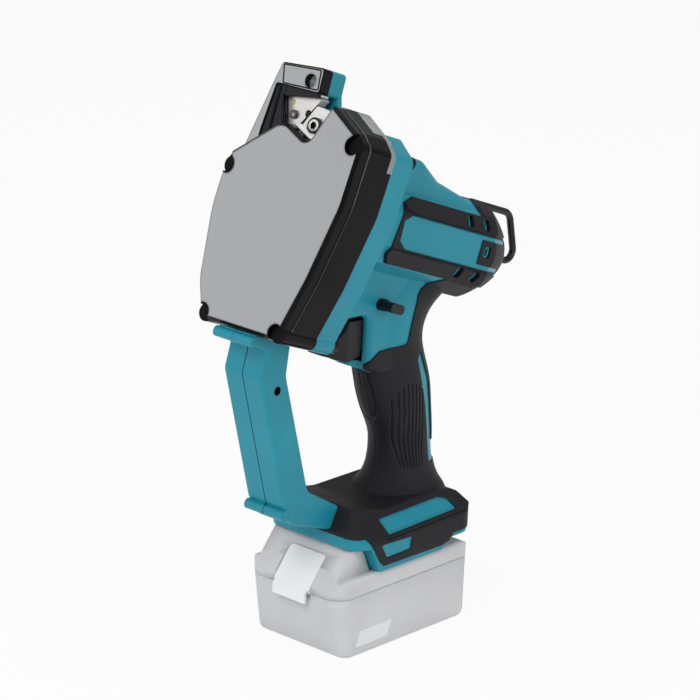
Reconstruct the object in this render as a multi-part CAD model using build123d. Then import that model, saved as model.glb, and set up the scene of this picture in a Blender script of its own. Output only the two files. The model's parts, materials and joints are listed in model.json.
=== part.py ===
# Cordless threaded rod cutter, standing on its battery.
# Millimetres. X points forward, Y to the tool's left, Z up.
# The origin is the centre of the battery's underside.
import math
import os

from build123d import *

os.makedirs("parts", exist_ok=True)

# Fits shared by many pieces
run_fit = 0.05            # radial clearance of a turning or sliding shaft
slide_gap = 0.4           # clearance round a sliding block
face_gap = 0.3            # clearance between faces that pass each other
seam = 0.15               # half of the parting line between two moulded halves
far_out = 150             # reach of a cutter that passes right through
touch = 0.01              # places closer than this count as the same
screw_end_gap = 1         # a screw's hole goes this much deeper than the screw
hex_sides = 6             # sides of a socket for a hexagon key

# Battery
battery_back = -58
battery_front = 62
battery_half_width = 37
battery_front_corner = 11
battery_back_corner = 5
battery_deck = 49.7       # height of the pack's shoulder under the foot
battery_split = 39        # height of the line between tray and lid
battery_line = 0.35       # how far that line stands open
battery_side = (
    (-51, 0, 3), (52.5, 0, 3), (battery_front, 42.5, 3), (battery_front, battery_deck, 0),
    (battery_back, battery_deck, 7), (battery_back, 8, 4),
)
battery_edge = 4.5
battery_wall = 3
cell_space_back = -51
cell_space_front = 45
cell_space_top = 46.7
cell_space_corner = 5
nose_side = (
    (26.6, 44, 0), (26.6, 48, 0), (35.3, 66.4, 1), (43.6, 66.4, 4), (battery_front, 43.5, 2), (60, 36, 0),
)
nose_half_width = 31
slope_low = (battery_front, 43.5)
slope_high = (43.6, 66.4)
cell_radius = 9.1
cell_length = 65
cell_pitch = 18.5
cell_columns = 5
cell_rows = 2
cell_shift = -3
rail_half_width = 29
rail_neck = 24
rail_base = 56            # underside of the rails
rail_top = 60
rail_back = -46.5
rail_front = 32
rail_overlap = 1
button_half_width = 14.5
button_low = -17.8          # along the slope from its middle
button_high = 7.5
button_sunk = 0.6         # how far the button lies below the slope
button_lip_half_width = 12.9
button_lip_low = 33
button_lip_back = 62.6
button_lip_front = 64.6
button_thick = 6
button_travel = 3
button_corner = 3
button_edge = 1
button_pocket_top = 20    # the pocket is open above the slope
contact_pitch = 12
contact_thick = 1.2
contact_slot = 3
contact_reach = 10
contact_low = 57.2
contact_high = 59.5
contact_floor = 56.5
contact_room = 1.5
contact_count = 3
contact_side_gap = 0.1
contact_strip = 0.4
battery_screw_radius = 1.3
battery_screw_head = 2
battery_head_height = 2.5
battery_shank = 37
battery_boss_radius = 2.4
battery_boss_low = 1
battery_screws_at = ((47.5, 28), (47.5, -28), (-52, 31), (-52, -31))
battery_screw_sink = 1
battery_screw_top = 42

# Foot of the handle
foot_front = 47
foot_back = -62
foot_half_width = 37.5
foot_corner = 13
foot_side = (
    (foot_back, 56, 3), (foot_back, 67.5, 6), (-50, 81.5, 8), (-40, 84, 6), (14, 84, 14), (32, 88, 8),
    (39.4, 89.4, 2), (46.5, 76, 3), (foot_front, 67, 1), (34, 67, 3), (25.6, 50.3, 1.5),
    (-32, 50.3, 4), (-39, 56, 2),
)
foot_face = (
    (-foot_half_width, 45, 0), (-foot_half_width, 69, 6), (-26.5, 85.5, 0), (-24, 90, 0),
    (24, 90, 0), (26.5, 85.5, 0), (foot_half_width, 69, 6), (foot_half_width, 45, 0),
)
slot_roof = 60.5          # top of the slot that takes the battery rails
slot_back = -54
slot_front = 60
slot_lip = 55.6           # top of the lips that carry the rails
hollow_floor = 63.5

# Grip, as level sections: height, middle, half depth, half width
grip_sections = (
    (80, -28, 33, 29),
    (84.5, -29.4, 29.8, 24.2),
    (90, -30.4, 26, 20.2),
    (98, -31, 23, 17.6),
    (108, -31, 21.4, 16.8),
    (118, -30.3, 21.4, 16.9),
    (134, -25.6, 24.4, 17.6),
    (152, -20.6, 26.6, 18),
    (168, -15.2, 26, 18),
    (184, -10, 29.4, 18),
    (197, -12.5, 35.5, 18),
    (207, -20, 46, 18),
    (218, -27, 48, 17),
    (228, -36, 42, 14),
)

# Head: its own frame leans back, with x to the left, y up the face and z forward
head_pitch = 20.3
head_x = 119.2
head_z = 214.9
cover_depth = 32
cover_wall = 3
cover_ledge_at = 9
cover_ledge = 0.8
face_bevel = 2
case_depth = 50
case_wall = 3.5
cover_corners = (
    (-28.5, -2, 5), (32.5, -2, 5), (43.8, 36.5, 60), (52.8, 80, 40), (54.4, 117, 6.5),
    (47, 124.3, 6), (25, 137, 3), (14, 112, 4), (-7, 121.5, 12), (-42.5, 93.5, 5), (-43.8, 62, 80),
    (-38, 20, 30),
)
boss_radius = 5.4
boss_recess = 4
boss_scallop = 3          # how far the scallop over a boss runs out through the wall
case_edge = 1.5
case_top = 127.4          # the casting stops here, below the peak of the cover
case_peak = ((40.4, case_top, 3), (14, case_top, 3), (10, 118, 3))
case_corners = cover_corners[:5] + case_peak + cover_corners[8:]
screw_radius = 2.2
screw_head_radius = 3.8
screw_head_height = 5
screw_socket_depth = 3
screw_start = 9           # depth of the blind end of the cover screws
cover_screws_at = ((47.3, 115.8), (-38.8, 87.4), (-27, 2.2), (29.9, 2.8))
case_screws_at = ((-20, 96), (20, 96), (-20, 58), (12, 51.5))
case_screw_end = 62
case_screw_head = 3
case_boss_cap = 3         # boss left in front of the screw's end
case_boss_radius = 4.4

# Tower that carries the rod passage
tower_front = 15
tower_split = 23
tower_back = 35
tower_wall = 3
tower_edge = 0.8
tower_foot = 88
block_bottom = 139.6
tower_corners = (
    (-40.5, tower_foot, 0), (-43.6, 101, 3), (-34.8, 143.2, 12), (-32.4, 152.6, 2.5),
    (0.2, 154.8, 2.5), (0.9, block_bottom, 2), (-31.8, block_bottom, 1.5),
    (-34.2, 112, 0), (-34.2, tower_foot, 0),
)
hollow_corners = (
    (-39, tower_foot, 0), (-42, 101.4, 2), (-33.3, 143, 10), (-31.4, 151, 1.5),
    (-1.2, 153, 1), (-1.2, tower_foot, 0),
)
window_wall_corners = (
    (-36, 100, 0), (5, 100, 0), (5, 131, 3), (0.9, 142, 0), (-34.6, 142, 0),
)
# Ribbed cheek inside the window, in front of the arm
cheek_near = 16.2
cheek_corners = (
    (-41, 98, 0), (-12, 110, 0), (-19, 119, 2), (-24.6, 133.6, 3), (-25.2, 143, 0), (-33.8, 143, 0),
)
cheek_rib_near = 15.2
cheek_rib_width = 1.3
cheek_ribs = (((-29.2, 112), (-29.6, 138)), ((-20.6, 118), (-25.4, 134)))
rod_x = -8
rod_y = 145.8
rod_hole = 4.1

# Cutter arm, its dies and the guide beside it
arm_near = 20
arm_far = 27
arm_reach = 70.8          # radius of the arm's tip about its pivot
pivot_x = -17
pivot_y = 80
pivot_radius = 4.5
pivot_boss = 8
pivot_start = 5
pivot_end = 49
arm_corners = (
    (-18.5, 156, 0), (-1.6, 156, 0), (-1.6, 138.4, 0.6), (-0.2, 137, 0.5), (-12.5, 118.5, 4), (-6, 92, 10),
    (24, 61, 6), (18, 49, 6), (pivot_x, 66, 12), (-29, pivot_y, 10), (-29, 112, 20), (-26, 138, 3),
)
arm_notch = (-7.2, 127.3, 2.2)
die_half_width = 5.6
die_bottom = 138.6
die_screw_at = (-16.8, 125)
die_screw_head = 2.6
die_screw_height = 1.6
fixed_die_corners = (
    (-29, 140.5, 1), (-1.5, 140.5, 1), (-1.5, 150.6, 1), (-27, 150.6, 1),
)
guide_corners = (
    (-2, 133.1, 0.8), (8.3, 132, 1), (9.5, 120, 2), (8, 113, 1), (-9, 113, 1), (-10, 119, 0.8),
)
guide_far = 28
guide_seat_inset = 0.5
guide_bolt_at = (1, 121.6)
guide_bolt_radius = 3.6
guide_ring_radius = 4.9
guide_ring_height = 2.2
guide_bolt_height = 2.6
guide_shank = 2.5
guide_socket = 2.3
guide_socket_depth = 1.6

# Cam drive
roller_x = 14
roller_y = 58
roller_radius = 7
roller_pin_radius = 3
roller_width = 5
arm_swing = 8             # degrees
cam_turn = 240            # degrees of cam for the whole swing
cam_x = 1
cam_y = 38
cam_clearance = 0.3
cam_shaft_radius = 5
cam_bearing_radius = 9
cam_bearing_width = 7
cam_boss = 12
cam_front_bearing = 5
cam_rear_bearing = 42
return_spring_radius = 9.4
return_spring_wire = 0.8
return_spring_turns = 4
return_spring_gap = 2

# Spur gears: teeth and module
final_teeth = 42
idler_pinion_teeth = 12
final_module = 1.5
idler_teeth = 27
output_teeth = 12
output_module = 1.25
gear_width = 8
gear_gap = 1              # between the final gear and the idler
idler_stub_radius = 3
output_shaft_radius = 4
output_shaft_gap = 1
output_shaft_reach = 12     # how far the shaft goes into the gearbox
tooth_root_share = 0.62
tooth_tip_share = 0.2
addendum = 0.85
dedendum = 1.25

# Work light in the sloping facet of the cover
lens_near = 20
lens_thick = cover_wall
lens_length = 19
lens_mid = (35.2, 131.1)
lens_slope = -30          # degrees
strip_near = 28
strip_low = 106.5
light_board_thick = 1.6
light_board_length = 13
light_board_near = 22
light_board_far = 28
lamp_size = 3
lamp_near = 23.5
lamp_shift = 3.5

# Motor barrel
motor_y = 77
barrel_back = 204
barrel_corners = (
    (31, 10), (25, 21), (12, 29), (-12, 29), (-25, 21), (-31, 10),
    (-31, -10), (-25, -21), (-12, -29), (12, -29), (25, -21), (31, -10),
)
barrel_edge = 3
barrel_overlap = 5        # how far the barrel's form starts inside the casting
tail_start = 130
tail_outer = 42
tail_mid = (173, 32.5)
tail_end = (203, 18)
shell_wall = 3
rib_sunk = 1              # how far the ribs stay below the shell's surface
skin_sunk = 1.2           # how deep the rubber sits in the shell
skin_proud = 0.7          # how far the rubber stands out
band_proud = 2            # how far the two bars along the barrel stand out
hump_corners = (
    (30, 70, 0), (30, 120, 0), (102, 120, 8), (121, 111, 12), (155, 105.4, 0), (155, 70, 0),
)
hump_half_width = 22
hump_edge = 7
hump_rim = 97             # the hump's edges are rounded above this height
gearbox_radius = 22
gearbox_far = 91
gearbox_rib = 84
stator_bore = 13
stator_near = 110
stator_far = 160
stator_radius = 25.9
stator_slots = 12
stator_slot_length = 8
stator_slot_width = 2.4
rotor_radius = 12.3
rotor_inset = 2           # the rotor's iron is this much shorter at each end
rotor_shaft_radius = 4
rotor_shaft_near = 80
rotor_bearing_radius = 9
rotor_bearing_width = 7
front_bearing_at = 97
rear_bearing_at = 182
fan_near = 165
fan_far = 174
fan_radius = 23
fan_hub_radius = 8
fan_disc = 2
fan_blades = 9
fan_blade_thick = 1.6
fan_blade_root = 1        # how far the blades reach into the hub
vent_slots = ((147.6, 93.6, 0), (164, 93.6, 14), (147.6, 62.4, 0), (164.4, 62.2, -24), (168.4, 78.2, 0))
vent_length = 6.4         # opening in the rubber
vent_height = 6.6
vent_corner = 1.4
vent_slit_width = 2.2     # slit through the shell behind it
vent_slit_height = 5
grille_corners = ((161.5, 70.2, 1), (199, 70.2, 0), (199, 85, 0), (161.5, 85, 1))
band_corners = (
    (77.6, 62, 1), (83, 56.6, 1), (143, 56.6, 0), (143, 40, 0), (212, 40, 0), (212, 112, 0), (165, 112, 2),
    (162, 98.2, 1), (92, 98.2, 1), (82.4, 93.4, 1), (78.6, 66, 1),
)
panel_corners = (
    (84.6, 71.4, 1), (91, 67.2, 1), (199, 67.2, 0), (199, 87.8, 0), (90.5, 87.8, 1), (84, 83.6, 1),
)
upper_bar_corners = (
    (84, 91, 1), (82.4, 93.4, 0), (92, 98.2, 1), (162, 98.2, 0), (165, 104, 0),
    (212, 104, 0), (212, 89.4, 0), (95, 89.4, 3),
)
lower_bar_corners = (
    (78.4, 65.4, 0), (77.6, 62, 1), (83, 56.6, 1), (150, 56.6, 0), (212, 56.6, 0),
    (212, 65.6, 0), (83, 65.6, 1),
)

# Hang ring behind the barrel
ring_radius = 2.2
ring_path = ((180, 105.2, 0), (221, 105.2, 9), (239.5, 76.3, 6), (191, 76.3, 0))
ear_corners = ((164, 95, 0), (168, 109, 3), (192, 109, 3), (196, 92, 0))
ear_half_width = 6

# Neck between the grip and the motor barrel
neck_half_width = 16
neck_edge = 4
neck_corners = (
    (68.8, 207, 5), (51.5, 253.9, 0), (0, 240, 0), (-26, 225, 0), (-22, 186, 0),
    (-22, 165, 0), (8, 165, 0), (21, 171, 0), (21, 204, 5),
)
lip_corners = (
    (-4, 160, 0), (6, 163.5, 6), (20, 169.6, 5), (26.5, 172.2, 0.8), (26, 174.8, 0.8), (-4, 174.8, 0),
)
lip_middle = 5
lip_half_length = 21.5
lip_half_width = 12.4
lip_bare_back = 12         # the rubber stays off the shell round the lip
lip_bare_half_width = 13.2
grip_skin_corners = (
    (-34.6, 217.6, 0), (-22.2, 212.6, 2), (-19.7, 209.4, 2), (-11.9, 180.4, 3), (11, 180.2, 3),
    (19.5, 175.4, 3), (24, 171, 0), (24, 80, 0), (-66, 80, 0), (-66, 162, 0), (-75, 212, 0),
)
grip_strip_corners = (
    (-26.7, 173, 1), (-23.2, 168, 3), (-32.7, 136.4, 0), (-39.9, 98.3, 2), (-66, 97, 0),
    (-66, 111.5, 0), (-43, 111.5, 2), (-36.6, 152, 0),
)
foot_skin_corners = (
    (-66, 58.5, 0), (-41, 58.5, 1), (-37, 54.4, 1.5), (-30, 53, 2), (22.5, 53.6, 1.5), (26, 57, 1),
    (36.5, 73.6, 2), (52, 74.6, 0), (52, 94, 0), (-66, 94, 0),
)
foot_plate_corners = ((21, 80.8, 1), (-33.7, 81.4, 2), (-40.4, 79.2, 2), (-45.8, 72.4, 1), (17, 71.4, 1))
foot_badge_corners = ((25.7, 67.4, 1), (-2.7, 66.2, 1), (-1.1, 58.4, 1), (19.9, 58, 1))
foot_groove = ((20, 69.4), (-63, 70.6))
groove_width = 1
grip_grooves = (
    ((-4.6, 146), (-16.5, 101)), ((-8, 150), (-18.6, 100)), ((-11.4, 153), (-20.8, 99.5)),
    ((-14.8, 154), (-23, 99)), ((-18.2, 154), (-25.2, 99)), ((-21.6, 153), (-27.4, 99)),
    ((-25, 152), (-29.6, 99)), ((-28.4, 150), (-31.8, 99)),
)
front_groove = ((8.2, 163), (3.4, 148), (-1.6, 134), (-5, 118), (-6, 106))

# Trigger and reverse lever
trigger_back = 20.6
trigger_half_width = 11
trigger_travel = 6
trigger_edge = 2
trigger_ridge = 33.4        # the sides slope in from here to the nose
trigger_nose_half_width = 5
trigger_corners = ((20.6, 200.6), (33, 201.6), (51, 186.5), (50, 183), (33, 176.6), (22.4, 178.6))
trigger_hollow = (38.4, 193)  # lowest point of the finger hollow
stem_half_width = 5
stem_low = 186
stem_high = 196
stem_back = 7
stem_overlap = 3
stem_bore = 19.6            # how far forward the spring's bore reaches
switch_back = -20
switch_front = 13
switch_half_width = 11
switch_low = 178
switch_high = 204
switch_well = 0.4         # bottom of the switch's well for the stem
switch_cheek_reach = 15.6
trigger_spring_radius = 2.4
trigger_spring_front = 13
trigger_spring_turns = 6
spring_wire = 0.45
spring_room = 0.8         # between the spring's middle line and its bore
lever_depth = 105.5
lever_height = 32.3
lever_length = 12.5
lever_thick = 6
lever_reach = 27.5
lever_travel = 3.5
lever_tongue = 3
tongue_low = 201

# Boards and contacts in the foot
board_back = -46
board_front = 22
board_half_width = 26
board_tray = 6
capacitor_radius = 5
capacitor_height = 14
capacitors_at = (-34, -16)
contact_block_front = -47.2
contact_block_half_width = 18
contact_block_low = 52

# Screws that close the housing
housing_screws_at = ((-30, 118), (-32, 196), (45, 215), (-51, 70.5), (36, 80))
housing_screw_radius = 2
housing_screw_head = 3.6
housing_boss = 5
housing_head_depth = 7    # how far the head sits from the middle
housing_head_height = 3
housing_screw_end = 9

# Front strut
strut_half_width = 15
strut_wall = 2.6
strut_edge = 2
strut_front_depth = 3.4
strut_flange = 6.6         # thickness of the flange under the cover
strut_rear_depth = 35
strut_corners_low = (
    (107.2, 199.8, 2), (111.6, 184.6, 6), (87.4, 99.8, 8), (78.2, 86.4, 4), (46.5, 76, 0), (39.4, 89.4, 0),
    (66.8, 105, 10), (89.6, 181.8, 8),
)
strut_screw_at = (97.4, 174.5)
strut_screw_radius = 1.4
strut_screw_head = 2.4
strut_screw_height = 2.5
strut_boss = 4.4
strut_screw_sink = 6
strut_toe = 4              # the corner where the strut meets the foot
bead_radius = 3.2
bead_at = ((118.1, 208.1), (86.6, 94.9))

head_cos = math.cos(math.radians(head_pitch))
head_sin = math.sin(math.radians(head_pitch))
head_plane = Plane(origin=(head_x, 0, head_z), x_dir=(0, 1, 0), z_dir=(head_cos, 0, head_sin))
head_place = head_plane.location
side_of_head = Plane(origin=(0, 0, 0), x_dir=(0, 0, -1), z_dir=(1, 0, 0))
from_base = (Align.CENTER, Align.CENTER, Align.MIN)
from_corner = (Align.MIN, Align.MIN, Align.MIN)
motor_axis = Axis((0, motor_y, 0), (0, 0, 1))


# Shapes used throughout
def rounded_polygon(corners):
    points = [(x, y) for x, y, _ in corners]
    radii = [r for _, _, r in corners]
    return make_face(FilletPolyline(*points, radius=radii, close=True))


def inset_by(sketch, amount):
    return offset(sketch, -amount) if amount else sketch


def slab(sketch, near, far):
    return extrude(Pos(0, 0, -far) * sketch, far - near)


def post(x, y, radius, near, far):
    return Pos(x, y, -far) * Cylinder(radius, far - near, align=from_base)


def block(x0, x1, y0, y1, z0, z1):
    return Pos(x0, y0, z0) * Box(x1 - x0, y1 - y0, z1 - z0, align=from_corner)


def side_slab(sketch, half_width):
    return extrude(Plane.XZ * sketch, half_width, both=True)


def middle_of(start, end):
    return (start[0] + end[0]) / 2, (start[1] + end[1]) / 2


def bar_between(start, end, width):
    length = math.dist(start, end) + width
    return Pos(*middle_of(start, end)) * Rot(0, 0, line_angle(*start, *end)) * SlotOverall(length, width)


def cross_pin(x, z, radius, y0, y1):
    return Pos(x, y1, z) * Rot(90, 0, 0) * Cylinder(radius, y1 - y0, align=from_base)


def head_point(depth, height):
    x = head_x - depth * head_cos - height * head_sin
    return x, head_z - depth * head_sin + height * head_cos


def on_circle(x, y, radius, degrees):
    turn = math.radians(degrees)
    return x + radius * math.cos(turn), y + radius * math.sin(turn)


def line_angle(x0, y0, x1, y1):
    return math.degrees(math.atan2(y1 - y0, x1 - x0))


def circle_meet(x0, y0, r0, x1, y1, r1):
    gap = math.hypot(x1 - x0, y1 - y0)
    along = (gap ** 2 + r0 ** 2 - r1 ** 2) / (2 * gap)
    off = math.sqrt(r0 ** 2 - along ** 2)
    ux = (x1 - x0) / gap
    uy = (y1 - y0) / gap
    return x0 + along * ux - off * uy, y0 + along * uy + off * ux


def coil(radius, wire, turns, height):
    path = Helix(pitch=height / turns, height=height, radius=radius)
    return sweep(Plane(path @ 0, z_dir=path % 0) * Circle(wire), path=path)


def socket_screw(x, y, head_radius, shank_radius, head_near, head_far, shank_far):
    screw = post(x, y, head_radius, head_near, head_far)
    screw += post(x, y, shank_radius, min(head_far, shank_far), max(head_far, shank_far))
    return screw


# Where the drive train sits, from front to back
cam_near = arm_far + face_gap
cam_far = cam_near + roller_width
final_near = cam_far + face_gap
final_far = final_near + gear_width
idler_near = final_far + gear_gap
idler_far = case_depth - case_wall - face_gap
idler_x, idler_y = circle_meet(
    0, motor_y, (idler_teeth + output_teeth) * output_module / 2,
    cam_x, cam_y, (final_teeth + idler_pinion_teeth) * final_module / 2,
)


# Gears and cam
def gear_outline(teeth, module, phase):
    tip = module * (teeth / 2 + addendum)
    root = module * (teeth / 2 - dedendum)
    pitch = 360 / teeth
    flank = (
        (root, -tooth_root_share), (tip, -tooth_tip_share),
        (tip, tooth_tip_share), (root, tooth_root_share),
    )
    points = []
    for tooth in range(teeth):
        middle = phase + tooth * pitch
        points += [on_circle(0, 0, radius, middle + share * pitch / 2) for radius, share in flank]
    return Polygon(*points, align=None)


def cam_outline():
    arm_length = math.hypot(roller_x - pivot_x, roller_y - pivot_y)
    arm_angle = line_angle(pivot_x, pivot_y, roller_x, roller_y)
    steps = 24
    points = []
    for step in range(steps + 1):
        x, y = on_circle(pivot_x, pivot_y, arm_length, arm_angle + arm_swing * step / steps)
        reach = math.hypot(x - cam_x, y - cam_y) - roller_radius - cam_clearance
        points.append(on_circle(0, 0, reach, line_angle(cam_x, cam_y, x, y) - cam_turn * step / steps))
    lift = Spline(*points)
    back = Spline(points[-1], points[0], tangents=(lift % 1, lift % 0))
    return make_face([lift, back])


def cam_gear():
    mesh = line_angle(cam_x, cam_y, idler_x, idler_y)
    gear = slab(gear_outline(final_teeth, final_module, mesh), final_near, final_far)
    gear += slab(cam_outline(), cam_near, final_near)
    gear -= post(0, 0, cam_shaft_radius, cam_near, final_far)
    return Pos(cam_x, cam_y, 0) * gear


def cam_shaft():
    return post(cam_x, cam_y, cam_shaft_radius, cam_front_bearing + face_gap,
                cam_rear_bearing + cam_bearing_width - face_gap)


def cam_bearing(near):
    far = near + cam_bearing_width
    ring = post(cam_x, cam_y, cam_bearing_radius, near, far)
    return ring - post(cam_x, cam_y, cam_shaft_radius + run_fit, near, far)


def idler_gear():
    to_final = line_angle(idler_x, idler_y, cam_x, cam_y)
    to_output = line_angle(idler_x, idler_y, 0, motor_y)
    gear = slab(gear_outline(idler_teeth, output_module, to_output), idler_near, idler_far)
    pinion = gear_outline(idler_pinion_teeth, final_module, to_final + 180 / idler_pinion_teeth)
    gear += slab(pinion, final_near, idler_near)
    gear -= post(0, 0, idler_stub_radius + run_fit, final_near, idler_far)
    return Pos(idler_x, idler_y, 0) * gear


def idler_stub():
    return post(idler_x, idler_y, idler_stub_radius, final_near, case_depth)


def output_pinion():
    mesh = line_angle(0, motor_y, idler_x, idler_y)
    outline = gear_outline(output_teeth, output_module, mesh + 180 / output_teeth)
    pinion = slab(outline, idler_near, idler_far)
    pinion += post(0, 0, output_shaft_radius, idler_far, case_depth + output_shaft_reach)
    return Pos(0, motor_y, 0) * pinion


# Cutter arm and dies
def arm_blank():
    reach = Pos(pivot_x, pivot_y) * Circle(arm_reach)
    return slab(rounded_polygon(arm_corners) & reach, arm_near, arm_far)


def die_space():
    left = rod_x - die_half_width
    sketch = Pos(left, die_bottom) * Rectangle(far_out, far_out, align=(Align.MIN, Align.MIN))
    return slab(sketch, arm_near, arm_far)


def cutter_arm():
    arm = arm_blank() - die_space()
    arm -= post(pivot_x, pivot_y, pivot_radius + run_fit, arm_near, arm_far)
    arm -= post(roller_x, roller_y, roller_pin_radius, arm_near, arm_far)
    arm -= post(*arm_notch, arm_near, arm_far)
    return arm - post(*die_screw_at, screw_radius, arm_near, arm_far)


def moving_die():
    return (arm_blank() & die_space()) - post(rod_x, rod_y, rod_hole, arm_near, arm_far)


def die_screw():
    head_near = arm_near - die_screw_height
    screw = socket_screw(*die_screw_at, die_screw_head, screw_radius, head_near, arm_near, arm_far)
    socket = slab(Pos(*die_screw_at) * RegularPolygon(die_screw_head / 2, hex_sides), head_near, arm_near)
    return screw - socket


def fixed_die():
    die = slab(rounded_polygon(fixed_die_corners), arm_far + face_gap, tower_back - tower_wall)
    return die - post(rod_x, rod_y, rod_hole, arm_far, tower_back)


def guide_block():
    guide = slab(rounded_polygon(guide_corners), arm_near, guide_far)
    return guide - post(*guide_bolt_at, guide_shank, arm_near, guide_far)


def guide_ring():
    near = arm_near - guide_ring_height
    ring = post(*guide_bolt_at, guide_ring_radius, near, arm_near)
    return ring - post(*guide_bolt_at, guide_bolt_radius + run_fit, near, arm_near)


def guide_bolt():
    near = arm_near - guide_bolt_height
    bolt = socket_screw(*guide_bolt_at, guide_bolt_radius, guide_shank, near, arm_near, tower_back)
    socket = Pos(*guide_bolt_at) * RegularPolygon(guide_socket, hex_sides)
    return bolt - slab(socket, near, near + guide_socket_depth)


def arm_pivot_pin():
    return post(pivot_x, pivot_y, pivot_radius, pivot_start, pivot_end)


def arm_return_spring():
    length = idler_near - cam_near - 2 * return_spring_gap
    spring = coil(return_spring_radius, return_spring_wire, return_spring_turns, length)
    return Pos(pivot_x, pivot_y, -cam_near - return_spring_gap - length) * spring


def cam_roller():
    ring = post(roller_x, roller_y, roller_radius, cam_near, cam_far)
    return ring - post(roller_x, roller_y, roller_pin_radius + run_fit, cam_near, cam_far)


def roller_pin():
    return post(roller_x, roller_y, roller_pin_radius, arm_near, cam_far)


# Head castings
def cover_outline():
    return rounded_polygon(cover_corners)


def with_bosses(outline):
    return outline + [Pos(x, y) * Circle(boss_radius) for x, y in cover_screws_at]


def lens_region():
    facet = Pos(*lens_mid) * Rot(0, 0, lens_slope) * Rectangle(lens_length, 4 * lens_thick)
    height = lens_mid[1] - strip_low
    side = Pos(lens_mid[0], strip_low) * Rectangle(far_out, height, align=(Align.MIN, Align.MIN))
    return slab(facet, lens_near, cover_depth) + slab(side, strip_near, cover_depth)


def work_light_lens():
    outline = cover_outline()
    ring = slab(outline, lens_near, cover_depth) - slab(offset(outline, -lens_thick), lens_near, cover_depth)
    return ring & lens_region()


def light_sketch(length, thick, sunk, shift):
    place = Pos(*lens_mid) * Rot(0, 0, lens_slope) * Pos(shift, -sunk)
    return place * Rectangle(length, thick, align=(Align.CENTER, Align.MAX))


def work_light_board():
    lamp_rise = lamp_size / 2
    sketch = light_sketch(light_board_length, light_board_thick, lens_thick + lamp_rise, 0)
    board = slab(sketch, light_board_near, light_board_far)
    for shift in (-lamp_shift, lamp_shift):
        lamp = light_sketch(lamp_size, lamp_rise, lens_thick, shift)
        board += slab(lamp, lamp_near, lamp_near + lamp_size)
    return board


def boss_scallops():
    cuts = []
    for x, y in cover_screws_at:
        outside = (x + math.copysign(boss_scallop, x), y + math.copysign(boss_scallop, y - motor_y))
        cuts.append(slab(bar_between((x, y), outside, 2 * boss_radius), 0, boss_recess))
    return cuts


def peak_wall():
    above_case = Pos(0, case_top - case_wall) * Rectangle(
        2 * far_out, far_out, align=(Align.CENTER, Align.MIN)
    )
    return slab(cover_outline() & above_case, cover_depth - cover_wall, cover_depth)


def tower_front_half():
    tower = slab(rounded_polygon(tower_corners), tower_front, tower_split)
    return chamfer(tower.faces().sort_by(Axis.Z)[-1].edges(), tower_edge)


def window_cheek():
    far = arm_near - die_screw_height - face_gap
    cheek = slab(rounded_polygon(cheek_corners), cheek_near, far)
    return cheek + [slab(bar_between(*rib, cheek_rib_width), cheek_rib_near, far) for rib in cheek_ribs]


def front_cover():
    outline = cover_outline()
    face = offset(outline, -cover_ledge)
    cover = slab(face, 0, cover_ledge_at)
    cover = chamfer(cover.faces().sort_by(Axis.Z)[-1].edges(), face_bevel)
    cover += slab(outline, cover_ledge_at, cover_depth)
    cover += tower_front_half()
    cover -= boss_scallops()
    cover -= slab(offset(outline, -cover_wall), cover_wall, cover_depth)
    cover += [post(x, y, boss_radius, boss_recess, cover_depth) for x, y in cover_screws_at]
    cover += peak_wall()
    cover += post(cam_x, cam_y, cam_boss, cover_wall, cam_front_bearing + cam_bearing_width)
    cover += post(pivot_x, pivot_y, pivot_boss, cover_wall, arm_near - face_gap)
    cover -= slab(rounded_polygon(hollow_corners), tower_front + tower_wall, cover_depth)
    cover += post(pivot_x, pivot_y, pivot_boss, tower_front, arm_near - face_gap)
    cover += window_cheek()
    cover -= slab(offset(rounded_polygon(guide_corners), slide_gap), arm_near - slide_gap, cover_depth)
    cover -= post(*guide_bolt_at, guide_ring_radius + slide_gap, cover_ledge_at, cover_depth)
    cover -= post(rod_x, rod_y, rod_hole, tower_front, tower_split)
    cover -= post(cam_x, cam_y, cam_bearing_radius, cam_front_bearing, cover_depth)
    cover -= post(pivot_x, pivot_y, pivot_radius, pivot_start, cover_depth)
    cover -= [post(x, y, screw_radius, screw_start, cover_depth) for x, y in cover_screws_at]
    return cover - work_light_lens()


def gear_case():
    outline = rounded_polygon(case_corners)
    inside = offset(outline, -case_wall)
    case = slab(with_bosses(outline), cover_depth, case_depth)
    case = chamfer(case.faces().sort_by(Axis.Z)[0].edges(), case_edge)
    case -= slab(inside, cover_depth, case_depth - case_wall)
    case += [post(x, y, boss_radius, cover_depth, case_depth - case_edge) for x, y in cover_screws_at]
    tower = slab(rounded_polygon(tower_corners), tower_split, tower_back)
    tower += slab(rounded_polygon(window_wall_corners), tower_back - tower_wall, tower_back)
    tower -= slab(rounded_polygon(hollow_corners), tower_split, tower_back - tower_wall)
    seat = offset(rounded_polygon(guide_corners), -guide_seat_inset)
    tower += slab(seat, guide_far, tower_back - tower_wall)
    tower -= slab(offset(with_bosses(cover_outline()), run_fit), tower_split, cover_depth)
    tower -= slab(inside, cover_depth, tower_back)
    case += tower
    case += post(pivot_x, pivot_y, pivot_boss, cam_near, case_depth)
    case += post(cam_x, cam_y, cam_boss, final_far + face_gap, case_depth)
    case -= post(pivot_x, pivot_y, pivot_radius, cam_near, pivot_end)
    case -= post(cam_x, cam_y, cam_bearing_radius, final_far, cam_rear_bearing + cam_bearing_width)
    case -= post(idler_x, idler_y, idler_stub_radius, cover_depth, case_depth)
    case -= post(0, motor_y, output_shaft_radius + output_shaft_gap, cover_depth, case_depth)
    case -= post(rod_x, rod_y, rod_hole, tower_split, tower_back)
    case -= post(*guide_bolt_at, guide_shank, guide_far, tower_back)
    case -= [post(x, y, screw_radius, cover_depth, case_depth) for x, y in cover_screws_at]
    return case - [post(x, y, screw_radius, cover_depth, case_depth) for x, y in case_screws_at]


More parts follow.
